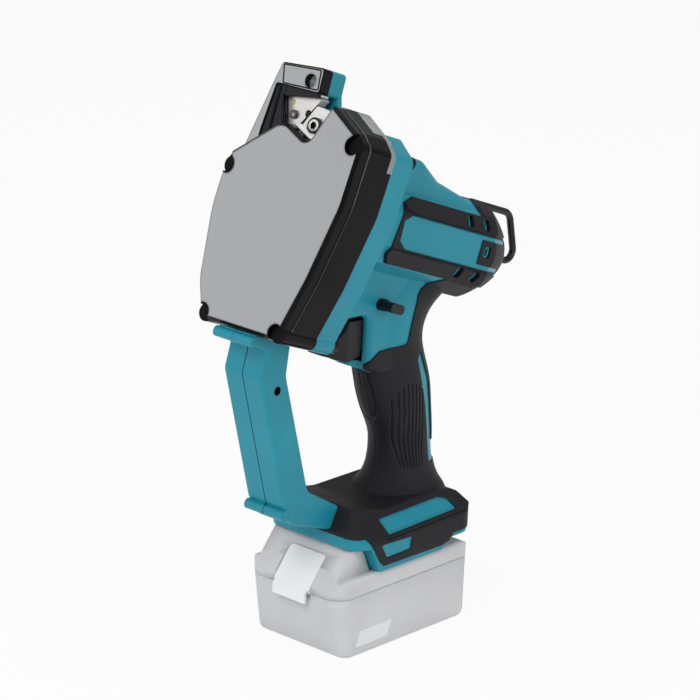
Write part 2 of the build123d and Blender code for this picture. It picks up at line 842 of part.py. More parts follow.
def cover_screws():
    rear = case_depth + screw_head_height
    return Compound(children=[
        socket_screw(x, y, screw_head_radius, screw_radius, case_depth, rear, screw_start + screw_end_gap)
        - slab(Pos(x, y) * RegularPolygon(screw_head_radius / 2, hex_sides), rear - screw_socket_depth, rear)
        for x, y in cover_screws_at
    ])


def case_screws():
    seat = case_depth - case_wall
    return Compound(children=[
        socket_screw(x, y, screw_head_radius, screw_radius, seat - case_screw_head, seat, case_screw_end)
        for x, y in case_screws_at
    ])


# Housing form, drawn smaller or larger all round by an inset
def barrel(inset):
    corners = [(x, motor_y + y, barrel_edge) for x, y in barrel_corners]
    prism = slab(inset_by(rounded_polygon(corners), inset), case_depth, barrel_back - inset)
    outer = motor_y + tail_outer - inset
    start = (case_depth - barrel_overlap, motor_y)
    mid = (tail_mid[0], motor_y + tail_mid[1] - inset)
    end = (tail_end[0] - inset, motor_y + tail_end[1])
    back = (barrel_back - inset, motor_y)
    outline = make_face([
        Polyline(back, start, (start[0], outer), (tail_start, outer)),
        ThreePointArc((tail_start, outer), mid, end),
        Line(end, back),
    ])
    return prism & revolve(side_of_head * outline, motor_axis)


def hump(inset):
    width = hump_half_width - inset
    form = extrude(side_of_head * inset_by(rounded_polygon(hump_corners), inset), width, both=True)
    rims = [e for e in form.edges() if abs(abs(e.center().X) - width) < touch and e.center().Y > hump_rim]
    return fillet(rims, hump_edge - inset)


def edged_slab(sketch, half_width, edge, plain=()):
    form = side_slab(sketch, half_width)
    rims = [e for e in form.edges() if abs(abs(e.center().Y) - half_width) < touch]
    for x, z in plain:
        rims = [e for e in rims if math.dist((e.center().X, e.center().Z), (x, z)) > touch]
    return fillet(rims, edge) if edge > 0 else form


def neck(inset):
    sketch = inset_by(rounded_polygon(neck_corners), inset)
    return edged_slab(sketch, neck_half_width - inset, neck_edge - inset)


def trigger_lip():
    plan = Pos(lip_middle, 0) * Ellipse(lip_half_length, lip_half_width)
    return side_slab(rounded_polygon(lip_corners), lip_half_width) & extrude(plan, 2 * far_out)


def grip(inset):
    rings = [Pos(x, 0, z) * Ellipse(depth - inset, width - inset) for z, x, depth, width in grip_sections]
    return loft(rings)


def foot(inset):
    length = foot_front - foot_back
    plan = Pos((foot_front + foot_back) / 2, 0) * RectangleRounded(length, 2 * foot_half_width, foot_corner)
    form = extrude(inset_by(plan, inset), far_out)
    form &= side_slab(inset_by(rounded_polygon(foot_side), inset), far_out)
    return form & extrude(Plane.YZ * inset_by(rounded_polygon(foot_face), inset), far_out, both=True)


def housing_form(inset):
    behind_case = slab(Rectangle(4 * far_out, 4 * far_out), case_depth, 3 * far_out)
    form = head_place * (barrel(inset) + hump(inset)) + neck(inset)
    return (form & head_place * behind_case) + grip(inset) + foot(inset)


def housing_hollow():
    low = block(-far_out, far_out, -far_out, far_out, -far_out, hollow_floor)
    return housing_form(shell_wall) - low


# Ribs, bosses and openings of the housing
def motor_rib(near, far, bore):
    corners = [(x, motor_y + y, barrel_edge) for x, y in barrel_corners]
    rib = slab(inset_by(rounded_polygon(corners), rib_sunk), near, far) & barrel(rib_sunk)
    return rib - post(0, motor_y, bore, near, far)


def housing_ribs():
    ribs = motor_rib(gearbox_rib, gearbox_rib + shell_wall, gearbox_radius)
    ribs += motor_rib(front_bearing_at, front_bearing_at + rotor_bearing_width, rotor_bearing_radius)
    ribs += motor_rib(rear_bearing_at, rear_bearing_at + rotor_bearing_width, rotor_bearing_radius)
    return head_place * ribs


def ring_form(clearance):
    bends = [r for _, _, r in ring_path[1:-1]]
    path = side_of_head * FilletPolyline(*[(a, u) for a, u, _ in ring_path], radius=bends)
    return sweep(Plane(path @ 0, z_dir=path % 0) * Circle(ring_radius + clearance), path=path)


def ring_ear():
    return extrude(side_of_head * rounded_polygon(ear_corners), ear_half_width, both=True)


def battery_slot():
    wide = rail_half_width + slide_gap
    narrow = rail_neck + slide_gap
    slot = block(slot_back, slot_front, -wide, wide, slot_lip, slot_roof)
    return slot + block(slot_back, slot_front, -narrow, narrow, 0, slot_roof)


def lever_bar(clearance, reach):
    x, z = head_point(lever_depth, lever_height)
    section = SlotOverall(lever_length + 2 * clearance, lever_thick + 2 * clearance)
    across = Plane(origin=(x, 0, z), x_dir=(head_cos, 0, head_sin), z_dir=(0, -1, 0))
    return extrude(across * section, reach, both=True)


def trigger_pocket():
    width = trigger_half_width + slide_gap
    back = trigger_back - trigger_travel - slide_gap
    return block(back, foot_front, -width, width, lip_corners[-1][1], neck_corners[-1][1] - slide_gap)


def side_cut(sketch):
    return head_place * extrude(side_of_head * sketch, far_out, both=True)


def vent_slits():
    slit = SlotOverall(vent_slit_height, vent_slit_width)
    return [side_cut(Pos(a, u) * Rot(0, 0, 90 + turn) * slit) for a, u, turn in vent_slots]


def vent_openings():
    opening = RectangleRounded(vent_length, vent_height, vent_corner)
    return [side_cut(Pos(a, u) * Rot(0, 0, turn) * opening) for a, u, turn in vent_slots]


def switch_cheeks():
    cheeks = [
        block(x, x + shell_wall, switch_half_width + run_fit, switch_cheek_reach, switch_low, switch_high)
        for x in (switch_back + shell_wall, switch_front - 2 * shell_wall)
    ]
    return cheeks + [mirror(cheek, Plane.XZ) for cheek in cheeks]


def screw_holes(radius, y0, y1):
    return [cross_pin(x, z, radius, y0, y1) for x, z in housing_screws_at]


def housing_shell(outer, hollow):
    shell = outer - hollow
    shell += trigger_lip() - hollow
    shell += housing_ribs()
    shell += switch_cheeks()
    shell += [boss & outer for boss in screw_holes(housing_boss, -far_out, far_out)]
    shell += head_place * (ring_ear() - barrel(shell_wall))
    case_boss_end = case_screw_end + case_boss_cap
    case_bosses = [post(x, y, case_boss_radius, case_depth, case_boss_end) for x, y in case_screws_at]
    shell += [head_place * boss & outer for boss in case_bosses]
    shell -= [
        head_place * post(x, y, screw_radius, case_depth, case_screw_end + screw_end_gap)
        for x, y in case_screws_at
    ]
    shell -= screw_holes(housing_screw_radius, -far_out, housing_screw_end + screw_end_gap)
    shell -= screw_holes(housing_screw_head + face_gap, -far_out, -housing_head_depth)
    shell -= battery_slot()
    shell -= lever_bar(slide_gap, far_out)
    shell -= trigger_pocket()
    shell -= vent_slits()
    return shell - head_place * ring_form(0)


# Rubber moulded over the left half; the right half mirrors it
def barrel_region():
    band = rounded_polygon(band_corners) - rounded_polygon(panel_corners)
    return left_of_head(band)


def left_of_head(sketch):
    return head_place * extrude(side_of_head * sketch, far_out)


def barrel_bars():
    bars = rounded_polygon(upper_bar_corners) + rounded_polygon(lower_bar_corners)
    return left_of_head(bars) & head_place * (barrel(-band_proud) + hump(-band_proud))


def grip_region():
    sketch = rounded_polygon(grip_skin_corners) + rounded_polygon(foot_skin_corners)
    bare = (grip_strip_corners, foot_plate_corners, foot_badge_corners)
    sketch -= [rounded_polygon(corners) for corners in bare]
    return extrude(Plane.XZ * sketch, -far_out)


def lip_clearing():
    half = lip_bare_half_width
    return block(lip_bare_back, far_out, -half, half, lip_corners[0][1], lip_corners[-1][1])


def grip_lines():
    lines = list(grip_grooves) + list(zip(front_groove, front_groove[1:])) + [foot_groove]
    bars = [bar_between(start, end, groove_width) for start, end in lines]
    return [extrude(Plane.XZ * bar, -far_out) for bar in bars]


def skin_cuts():
    cuts = [head_place * ring_ear(), head_place * ring_form(0), battery_slot(), trigger_pocket()]
    cuts.append(side_slab(strut_outline(), strut_half_width + slide_gap))
    return cuts + vent_openings()


def left_space():
    return block(-2 * far_out, 2 * far_out, seam, far_out, -far_out, 4 * far_out)


# Motor
def reduction_gearbox():
    box = post(0, motor_y, gearbox_radius, case_depth, gearbox_far)
    shaft_end = case_depth + output_shaft_reach + face_gap
    box -= post(0, motor_y, output_shaft_radius + run_fit, case_depth, shaft_end)
    return box - post(0, motor_y, rotor_shaft_radius + run_fit, rotor_shaft_near - face_gap, gearbox_far)


def stator():
    ring = Pos(0, motor_y) * (Circle(stator_radius) - Circle(stator_bore))
    for place in PolarLocations((stator_radius + stator_bore) / 2, stator_slots):
        ring -= Pos(0, motor_y) * place * SlotOverall(stator_slot_length, stator_slot_width)
    return slab(ring, stator_near, stator_far)


def rotor():
    shaft = post(0, motor_y, rotor_shaft_radius, rotor_shaft_near, rear_bearing_at + rotor_bearing_width)
    return shaft + post(0, motor_y, rotor_radius, stator_near + rotor_inset, stator_far - rotor_inset)


def cooling_fan():
    fan = Circle(fan_hub_radius) - Circle(rotor_shaft_radius)
    body = slab(fan, fan_near, fan_far)
    body += slab(Circle(fan_radius) - Circle(rotor_shaft_radius), fan_near, fan_near + fan_disc)
    length = fan_radius - fan_hub_radius
    for place in PolarLocations(fan_hub_radius + length / 2, fan_blades):
        body += slab(place * Rectangle(length + fan_blade_root, fan_blade_thick), fan_near, fan_far)
    return Pos(0, motor_y, 0) * (body & post(0, 0, fan_radius, fan_near, fan_far))


def rotor_bearings():
    return Compound(children=[
        post(0, motor_y, rotor_bearing_radius, near, near + rotor_bearing_width)
        - post(0, motor_y, rotor_shaft_radius + run_fit, near, near + rotor_bearing_width)
        for near in (front_bearing_at, rear_bearing_at)
    ])


# Trigger, switch and reverse lever
def trigger():
    top_back, top_front, toe, toe_low, chin, back_low = trigger_corners
    outline = make_face([
        ThreePointArc(top_front, trigger_hollow, toe),
        Polyline(toe, toe_low, chin, back_low, top_back, top_front),
    ])
    form = side_slab(outline, trigger_half_width)
    rims = [e for e in form.edges() if e.geom_type == GeomType.CIRCLE]
    form = fillet(rims, trigger_edge) & extrude(trigger_plan(toe[0]), 2 * far_out)
    form += block(stem_back, trigger_back + stem_overlap, -stem_half_width, stem_half_width, stem_low, stem_high)
    return form - along_x(trigger_spring_radius + spring_room, stem_back, stem_bore)


def trigger_plan(toe):
    half = trigger_half_width
    nose = trigger_nose_half_width
    right_side = [(trigger_back, -half), (trigger_ridge, -half), (toe, -nose)]
    left_side = [(x, -y) for x, y in reversed(right_side)]
    return Polygon(*right_side, *left_side, align=None)


def along_x(radius, x0, x1):
    middle = (stem_low + stem_high) / 2
    return Pos(x0, 0, middle) * Rot(0, 90, 0) * Cylinder(radius, x1 - x0, align=from_base)


def trigger_spring():
    length = trigger_spring_front - switch_well
    spring = coil(trigger_spring_radius, spring_wire, trigger_spring_turns, length - 2 * spring_wire)
    return Pos(switch_well + spring_wire, 0, (stem_low + stem_high) / 2) * Rot(0, 90, 0) * spring


def switch_body():
    body = block(switch_back, switch_front, -switch_half_width, switch_half_width, switch_low, switch_high)
    body -= block(
        switch_well, switch_front, -stem_half_width - slide_gap, stem_half_width + slide_gap,
        stem_low - slide_gap, stem_high + slide_gap,
    )
    x, _ = head_point(lever_depth, lever_height)
    half = lever_tongue + lever_travel + slide_gap
    return body - block(
        x - lever_tongue - slide_gap, x + lever_tongue + slide_gap, -half, half,
        tongue_low - slide_gap, switch_high,
    )


def reverse_lever():
    x, z = head_point(lever_depth, lever_height)
    tongue = block(x - lever_tongue, x + lever_tongue, -lever_tongue, lever_tongue, tongue_low, z)
    return lever_bar(0, lever_reach) + tongue


# Boards and contacts in the foot
def controller_board():
    half = board_half_width
    tray = block(board_back, board_front, -half, half, hollow_floor, hollow_floor + board_tray)
    for x in capacitors_at:
        tray += Pos(x, 0, hollow_floor) * Cylinder(capacitor_radius, capacitor_height, align=from_base)
    return tray


def contact_places():
    return [(step - (contact_count - 1) / 2) * contact_pitch for step in range(contact_count)]


def terminal_block():
    half = contact_block_half_width
    base = block(slot_back, contact_block_front, -half, half, contact_block_low, slot_roof)
    for y in contact_places():
        base += block(
            contact_block_front, contact_block_front + contact_reach, y - contact_thick / 2,
            y + contact_thick / 2, contact_low, contact_high,
        )
    return base


# Screws that close the housing
def housing_screws():
    seat = -housing_head_depth
    return Compound(children=[
        cross_pin(x, z, housing_screw_head, seat - housing_head_height, seat)
        + cross_pin(x, z, housing_screw_radius, seat, housing_screw_end)
        for x, z in housing_screws_at
    ])


# Front strut
def strut_ends():
    bottom = cover_corners[0][1]
    return head_point(strut_front_depth, bottom), head_point(strut_rear_depth, bottom)


def strut_outline():
    front, rear = strut_ends()
    flange = head_point(strut_front_depth, cover_corners[0][1] - strut_flange)
    return rounded_polygon(((*front, 0), (*flange, 1)) + strut_corners_low + ((*rear, 0),))


def strut_form(inset):
    sketch = inset_by(strut_outline(), inset)
    joints = [middle_of(*strut_ends()), middle_of(*strut_corners_low[strut_toe:strut_toe + 2])]
    return edged_slab(sketch, strut_half_width - inset, strut_edge - inset, joints)


def strut_shell():
    outer = strut_form(0)
    seat = strut_half_width - strut_screw_sink
    shell = outer - strut_form(strut_wall)
    shell += [cross_pin(x, z, bead_radius, -strut_half_width, strut_half_width) for x, z in bead_at]
    shell += outer & cross_pin(*strut_screw_at, strut_boss, -far_out, far_out)
    shell -= cross_pin(*strut_screw_at, strut_screw_radius, -seat - screw_end_gap, strut_half_width)
    return shell - cross_pin(*strut_screw_at, strut_screw_head + face_gap, seat, strut_half_width)


def strut_screw():
    seat = strut_half_width - strut_screw_sink
    head = cross_pin(*strut_screw_at, strut_screw_head, seat, seat + strut_screw_height)
    return head + cross_pin(*strut_screw_at, strut_screw_radius, -seat, seat)


# Battery
def battery_plan():
    width = battery_half_width
    return rounded_polygon((
        (battery_back, -width, battery_back_corner), (battery_front, -width, battery_front_corner),
        (battery_front, width, battery_front_corner), (battery_back, width, battery_back_corner),
    ))


def battery_face():
    width = battery_half_width
    return rounded_polygon((
        (-width, 0, battery_edge / 2), (width, 0, battery_edge / 2),
        (width, battery_deck, battery_edge), (-width, battery_deck, battery_edge),
    ))


def battery_nose():
    return side_slab(rounded_polygon(nose_side), nose_half_width)


def battery_body():
    body = extrude(battery_plan(), battery_deck) & side_slab(rounded_polygon(battery_side), far_out)
    body &= extrude(Plane.YZ * battery_face(), far_out, both=True)
    body += battery_nose()
    body += block(rail_back, rail_front, -rail_neck, rail_neck, battery_deck - rail_overlap, rail_top)
    body += block(rail_back, rail_front, -rail_half_width, rail_half_width, rail_base, rail_top)
    space = Pos((cell_space_front + cell_space_back) / 2, 0, battery_wall) * RectangleRounded(
        cell_space_front - cell_space_back, 2 * (battery_half_width - battery_wall), cell_space_corner
    )
    return body - extrude(space, cell_space_top - battery_wall)


def slope_plane():
    rise = line_angle(*slope_low, *slope_high)
    middle = ((slope_low[0] + slope_high[0]) / 2, 0, (slope_low[1] + slope_high[1]) / 2)
    turn = math.radians(rise - 90)
    return Plane(origin=middle, x_dir=(0, 1, 0), z_dir=(math.cos(turn), 0, math.sin(turn)))


def button_block(grow, low, high, deep, top):
    sketch = Pos(0, (low + high) / 2, deep) * RectangleRounded(
        2 * (button_half_width + grow), high - low + 2 * grow, button_corner
    )
    return slope_plane() * extrude(sketch, top - deep)


def button_pocket():
    low = button_low - button_travel - 2 * button_corner
    floor = -button_sunk - button_thick - slide_gap
    return button_block(slide_gap, low, button_high, floor, button_pocket_top)


def release_button():
    slope = slope_plane()
    button = button_block(0, button_low, button_high, -button_sunk - button_thick, -button_sunk)
    button = fillet(button.faces().sort_by(Axis(slope.origin, slope.z_dir))[-1].edges(), button_edge)
    lip = block(
        button_lip_back, button_lip_front, -button_lip_half_width, button_lip_half_width,
        button_lip_low, battery_deck,
    )
    below = slope * extrude(Pos(0, 0, -far_out) * Rectangle(far_out, far_out), far_out - button_sunk)
    return button + (lip & below)


def battery_lid(body):
    lid = body & block(-far_out, far_out, -far_out, far_out, battery_split + battery_line, far_out)
    half = contact_slot / 2
    slot_end = rail_back + contact_reach + contact_room
    for y in contact_places():
        lid -= block(rail_back, slot_end, y - half, y + half, contact_floor, rail_top)
    lid -= battery_screw_holes()
    return lid - button_pocket()


def battery_screw_holes():
    holes = []
    for x, y in battery_screws_at:
        holes.append(Pos(x, y, 0) * Cylinder(battery_screw_radius, battery_screw_top, align=from_base))
    return holes


def battery_tray(body):
    tray = body & block(-far_out, far_out, -far_out, far_out, 0, battery_split)
    boss_height = battery_split + battery_line - battery_boss_low
    tray += [
        Pos(x, y, battery_boss_low) * Cylinder(battery_boss_radius, boss_height, align=from_base)
        for x, y in battery_screws_at
    ]
    tray -= battery_screw_holes()
    sink = battery_screw_sink + battery_head_height
    tray -= [
        Pos(x, y, 0) * Cylinder(battery_screw_head, sink, align=from_base) for x, y in battery_screws_at
    ]
    return tray - button_pocket()


def battery_screws():
    screws = []
    for x, y in battery_screws_at:
        seat = Pos(x, y, battery_screw_sink)
        head = seat * Cylinder(battery_screw_head, battery_head_height, align=from_base)
        shank = Pos(0, 0, battery_head_height) * Cylinder(battery_screw_radius, battery_shank, align=from_base)
        screws.append(head + seat * shank)
    return Compound(children=screws)


def battery_cells():
    cells = []
    for row in range(cell_rows):
        for column in range(cell_columns):
            x = (column - (cell_columns - 1) / 2) * cell_pitch + cell_shift
            z = battery_wall + cell_radius + face_gap + row * cell_pitch
            cells.append(cross_pin(x, z, cell_radius, -cell_length / 2, cell_length / 2))
    return Compound(children=cells)


def battery_contacts():
    half = contact_slot / 2 - contact_side_gap
    top = contact_floor + contact_strip
    return Compound(children=[
        block(rail_back, rail_back + contact_reach, y - half, y + half, contact_floor, top)
        for y in contact_places()
    ])


# The moulded halves come from one set of forms
outer_form = housing_form(0)
hollow_form = housing_hollow()
sunk_form = housing_form(skin_sunk)
proud_form = housing_form(-skin_proud)
left = left_space()
right = mirror(left, about=Plane.XZ)
shell = housing_shell(outer_form, hollow_form)
screw_wells = screw_holes(housing_screw_head + face_gap, -far_out, -housing_head_depth)
grille_space = left_of_head(rounded_polygon(grille_corners)) - sunk_form
barrel_space = barrel_region() - sunk_form
grip_space = grip_region() - sunk_form - barrel_region() - lip_clearing()
barrel_skin = ((barrel_space & proud_form) + (barrel_bars() - sunk_form)) & left
barrel_skin -= skin_cuts()
grip_skin = (grip_space & proud_form & left) - skin_cuts()
grip_skin -= [line - outer_form for line in grip_lines()]
vent = (grille_space & proud_form & left) - vent_openings()
skin_spaces = [barrel_space, grip_space, grille_space]
strut = strut_shell()
pack = battery_body()

head_parts = {
    "front_cover": front_cover(),
    "gear_case": gear_case(),
    "cover_screws": cover_screws(),
    "case_screws": case_screws(),
    "work_light_lens": work_light_lens(),
    "work_light_board": work_light_board(),
    "cutter_arm": cutter_arm(),
    "moving_die": moving_die(),
    "die_screw": die_screw(),
    "fixed_die": fixed_die(),
    "guide_block": guide_block(),
    "guide_ring": guide_ring(),
    "guide_bolt": guide_bolt(),
    "arm_pivot_pin": arm_pivot_pin(),
    "arm_return_spring": arm_return_spring(),
    "cam_roller": cam_roller(),
    "roller_pin": roller_pin(),
    "cam_gear": cam_gear(),
    "cam_shaft": cam_shaft(),
    "cam_bearings": Compound(children=[cam_bearing(cam_front_bearing), cam_bearing(cam_rear_bearing)]),
    "idler_gear": idler_gear(),
    "idler_stub": idler_stub(),
    "output_pinion": output_pinion(),
    "reduction_gearbox": reduction_gearbox(),
    "stator": stator(),
    "rotor": rotor(),
    "cooling_fan": cooling_fan(),
    "rotor_bearings": rotor_bearings(),
    "hang_ring": ring_form(0),
}
body_parts = {
    "left_housing": (shell & left) - skin_spaces,
    "right_housing": (shell & right) - [mirror(space, about=Plane.XZ) for space in skin_spaces],
    "left_barrel_skin": barrel_skin,
    "right_barrel_skin": mirror(barrel_skin, about=Plane.XZ) - screw_wells,
    "left_grip_skin": grip_skin,
    "right_grip_skin": mirror(grip_skin, about=Plane.XZ) - screw_wells,
    "left_vent": vent,
    "right_vent": mirror(vent, about=Plane.XZ),
    "housing_screws": housing_screws(),
    "trigger": trigger(),
    "trigger_spring": trigger_spring(),
    "switch_body": switch_body(),
    "reverse_lever": reverse_lever(),
    "controller_board": controller_board(),
    "terminal_block": terminal_block(),
    "left_strut": strut & left,
    "right_strut": strut & right,
    "strut_screw": strut_screw(),
    "battery_tray": battery_tray(pack),
    "battery_lid": battery_lid(pack),
    "release_button": release_button(),
    "battery_cells": battery_cells(),
    "battery_contacts": battery_contacts(),
    "battery_screws": battery_screws(),
}
for name, shape in head_parts.items():
    export_step(head_place * shape, f"parts/{name}.step")
for name, shape in body_parts.items():
    export_step(shape, f"parts/{name}.step")
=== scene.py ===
import json
import math

import bmesh
import bpy
from mathutils import Matrix, Vector


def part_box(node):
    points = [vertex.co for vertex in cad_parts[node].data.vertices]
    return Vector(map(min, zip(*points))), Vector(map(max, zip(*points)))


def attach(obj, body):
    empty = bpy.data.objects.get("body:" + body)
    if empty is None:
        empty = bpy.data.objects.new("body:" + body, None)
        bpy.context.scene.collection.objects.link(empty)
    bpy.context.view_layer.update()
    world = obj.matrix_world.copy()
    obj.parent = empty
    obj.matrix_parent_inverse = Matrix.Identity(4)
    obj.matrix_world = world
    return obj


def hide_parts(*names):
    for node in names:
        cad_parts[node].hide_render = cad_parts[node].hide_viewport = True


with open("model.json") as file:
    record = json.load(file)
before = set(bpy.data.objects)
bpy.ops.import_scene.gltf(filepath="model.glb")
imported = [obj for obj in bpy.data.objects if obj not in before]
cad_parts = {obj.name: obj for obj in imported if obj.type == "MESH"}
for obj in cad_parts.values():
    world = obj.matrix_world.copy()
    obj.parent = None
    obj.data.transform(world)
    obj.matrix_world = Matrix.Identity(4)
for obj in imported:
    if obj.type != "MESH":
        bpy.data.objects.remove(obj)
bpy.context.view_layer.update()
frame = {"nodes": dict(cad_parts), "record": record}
nodes = frame["nodes"]
print("frame loaded:", len(nodes), "nodes")

# camera at the photograph's angle, for a square frame
viewSettings = {
    "azimuth": 41.15,      # degrees from +X towards +Y
    "elevation": 18.13,
    "roll": 2.63,
    "distance": 2.087,
    "target": (0.0081, -0.0093, 0.1741),
    "lens": 180.0,
    "sensor": 36.0,
    "clipEnd": 20.0,
}


def makeCamera(s):
    az, el, roll = (math.radians(s[k]) for k in ("azimuth", "elevation", "roll"))
    right = Vector((-math.sin(az), math.cos(az), 0))
    back = Vector((math.cos(az) * math.cos(el), math.sin(az) * math.cos(el), math.sin(el)))
    up = back.cross(right)
    rolledRight = right * math.cos(roll) + up * math.sin(roll)
    rolledUp = up * math.cos(roll) - right * math.sin(roll)
    place = Vector(s["target"]) + back * s["distance"]
    data = bpy.data.cameras.new("photoCamera")
    data.lens = s["lens"]
    data.sensor_width = s["sensor"]
    data.clip_end = s["clipEnd"]
    camera = bpy.data.objects.new("photoCamera", data)
    camera.matrix_world = Matrix((
        (rolledRight.x, rolledUp.x, back.x, place.x),
        (rolledRight.y, rolledUp.y, back.y, place.y),
        (rolledRight.z, rolledUp.z, back.z, place.z),
        (0, 0, 0, 1),
    ))
    bpy.context.collection.objects.link(camera)
    bpy.context.scene.camera = camera


makeCamera(viewSettings)
print("camera placed")

# studio: pale floor, white surround, soft lamps and a card that the gloss face mirrors
studioSettings = {
    "floorSize": 12.0,
    "floorColour": (0.9, 0.9, 0.9),
    "floorRoughness": 0.9,
    "floorShine": 0.1,
    "floorGlow": 0.9,          # share of plain white that the eye sees in the floor
    "worldStrength": 0.42,     # as a light
    "worldSeen": 0.96,         # as a backdrop above the floor's edge
}
lampSettings = {
    "keyLamp": {"place": (1.55, 0.1, 1.35), "aim": (0, 0, 0.17), "size": (1.2, 1.2), "power": 16.5},
    "topLamp": {"place": (-0.3, 0.2, 2.2), "aim": (0, 0, 0.17), "size": (1.6, 1.6), "power": 10.0},
    "fillLamp": {"place": (-0.2, 1.9, 0.7), "aim": (0, 0, 0.17), "size": (1.2, 1.2), "power": 8.5},
    "faceCard": {
        "place": (1.2, -0.94, 0.61), "aim": (0.085, 0, 0.27), "size": (0.5, 0.5), "power": 2.0,
        "colour": (0.93, 0.95, 1.0), "onlyMirrored": True,
    },
    "edgeStrip": {
        "place": (1.42, 0.58, 0.68), "aim": (0.06, 0.03, 0.24), "size": (0.25, 0.4), "power": 0.6,
        "onlyMirrored": True,
    },
}


def areaLamp(name, s):
    data = bpy.data.lights.new(name, "AREA")
    data.shape = "RECTANGLE"
    data.size, data.size_y = s["size"]
    data.energy = s["power"]
    data.color = s.get("colour", (1, 1, 1))
    lamp = bpy.data.objects.new(name, data)
    lamp.location = s["place"]
    lamp.rotation_euler = (Vector(s["aim"]) - Vector(s["place"])).to_track_quat("-Z", "Y").to_euler()
    lamp.visible_diffuse = not s.get("onlyMirrored", False)
    bpy.context.collection.objects.link(lamp)


def addNode(tree, kind, **settings):
    node = tree.nodes.new("ShaderNode" + kind)
    for name, value in settings.items():
        setattr(node, name, value)
    return node


def largest(tree, outputs):
    found = outputs[0]
    for other in outputs[1:]:
        node = addNode(tree, "Math", operation="MAXIMUM")
        tree.links.new(found, node.inputs[0])
        tree.links.new(other, node.inputs[1])
        found = node.outputs[0]
    return found


def makeWorld(s):
    world = bpy.data.worlds.new("studio")
    world.use_nodes = True
    sky = world.node_tree.nodes["Background"]
    sky.inputs["Color"].default_value = (1, 1, 1, 1)
    strength = addNode(world.node_tree, "MapRange")
    strength.inputs["To Min"].default_value = s["worldStrength"]
    strength.inputs["To Max"].default_value = s["worldSeen"]
    seen = addNode(world.node_tree, "LightPath").outputs["Is Camera Ray"]
    world.node_tree.links.new(seen, strength.inputs["Value"])
    world.node_tree.links.new(strength.outputs["Result"], sky.inputs["Strength"])
    bpy.context.scene.world = world


def makeFloor(s):
    half = s["floorSize"] / 2
    mesh = bpy.data.meshes.new("studioFloor")
    corners = [(-half, -half, 0), (half, -half, 0), (half, half, 0), (-half, half, 0)]
    mesh.from_pydata(corners, [], [(0, 1, 2, 3)])
    floor = bpy.data.objects.new("studioFloor", mesh)
    bpy.context.collection.objects.link(floor)
    mat = bpy.data.materials.new("floorPaint")
    mat.use_nodes = True
    tree = mat.node_tree
    paint = tree.nodes["Principled BSDF"]
    paint.inputs["Base Color"].default_value = (*s["floorColour"], 1)
    paint.inputs["Roughness"].default_value = s["floorRoughness"]
    paint.inputs["Specular IOR Level"].default_value = s["floorShine"]
    path = addNode(tree, "LightPath")
    share = addNode(tree, "Math", operation="MULTIPLY")
    share.inputs[1].default_value = s["floorGlow"]
    glow = addNode(tree, "Emission")
    mix = addNode(tree, "MixShader")
    seen = largest(tree, [path.outputs[k] for k in ("Is Camera Ray", "Is Glossy Ray", "Is Transmission Ray")])
    tree.links.new(seen, share.inputs[0])
    tree.links.new(share.outputs[0], mix.inputs[0])
    tree.links.new(paint.outputs[0], mix.inputs[1])
    tree.links.new(glow.outputs[0], mix.inputs[2])
    tree.links.new(mix.outputs[0], tree.nodes["Material Output"].inputs["Surface"])
    mesh.materials.append(mat)


makeWorld(studioSettings)
makeFloor(studioSettings)
for name, s in lampSettings.items():
    areaLamp(name, s)
bpy.context.scene.view_settings.view_transform = "Standard"
print("studio lit")


# shader groups shared by the finishes
patternSettings = {
    "bevelSamples": 6,
    "toneScale": 18.0, "brushToneScale": 35.0, "toneDetail": 3.0, "toneRange": (0.35, 0.65),
    "speckleDetail": 2.0, "lineDetail": 3.0,
    "edgeRange": (0.995, 0.8),     # how square a bevelled normal stands where wear starts and is full
    "breakDetail": 4.0, "breakRange": (0.45, 0.7),
    "roughRange": (0.3, 0.7),      # noise values at a finish's two roughnesses
}


def newGroup(name, inputs, outputs):
    tree = bpy.data.node_groups.new(name, "ShaderNodeTree")
    for label, value in inputs.items():
        socket = tree.interface.new_socket(label, in_out="INPUT", socket_type="NodeSocketFloat")
        socket.default_value = value
    for label, kind in outputs.items():
        tree.interface.new_socket(label, in_out="OUTPUT", socket_type=kind)
    return tree, tree.nodes.new("NodeGroupInput"), tree.nodes.new("NodeGroupOutput")


def noiseNode(tree, vector, scale, detail):
    noise = addNode(tree, "TexNoise")
    noise.inputs["Detail"].default_value = detail
    tree.links.new(vector, noise.inputs["Vector"])
    if isinstance(scale, (int, float)):
        noise.inputs["Scale"].default_value = scale
    else:
        tree.links.new(scale, noise.inputs["Scale"])
    return noise.outputs["Fac"]


def spread(tree, value, low, high, newLow=0.0, newHigh=1.0):
    node = addNode(tree, "MapRange")
    tree.links.new(value, node.inputs["Value"])
    for label, number in (("From Min", low), ("From Max", high), ("To Min", newLow), ("To Max", newHigh)):
        node.inputs[label].default_value = number
    return node.outputs["Result"]


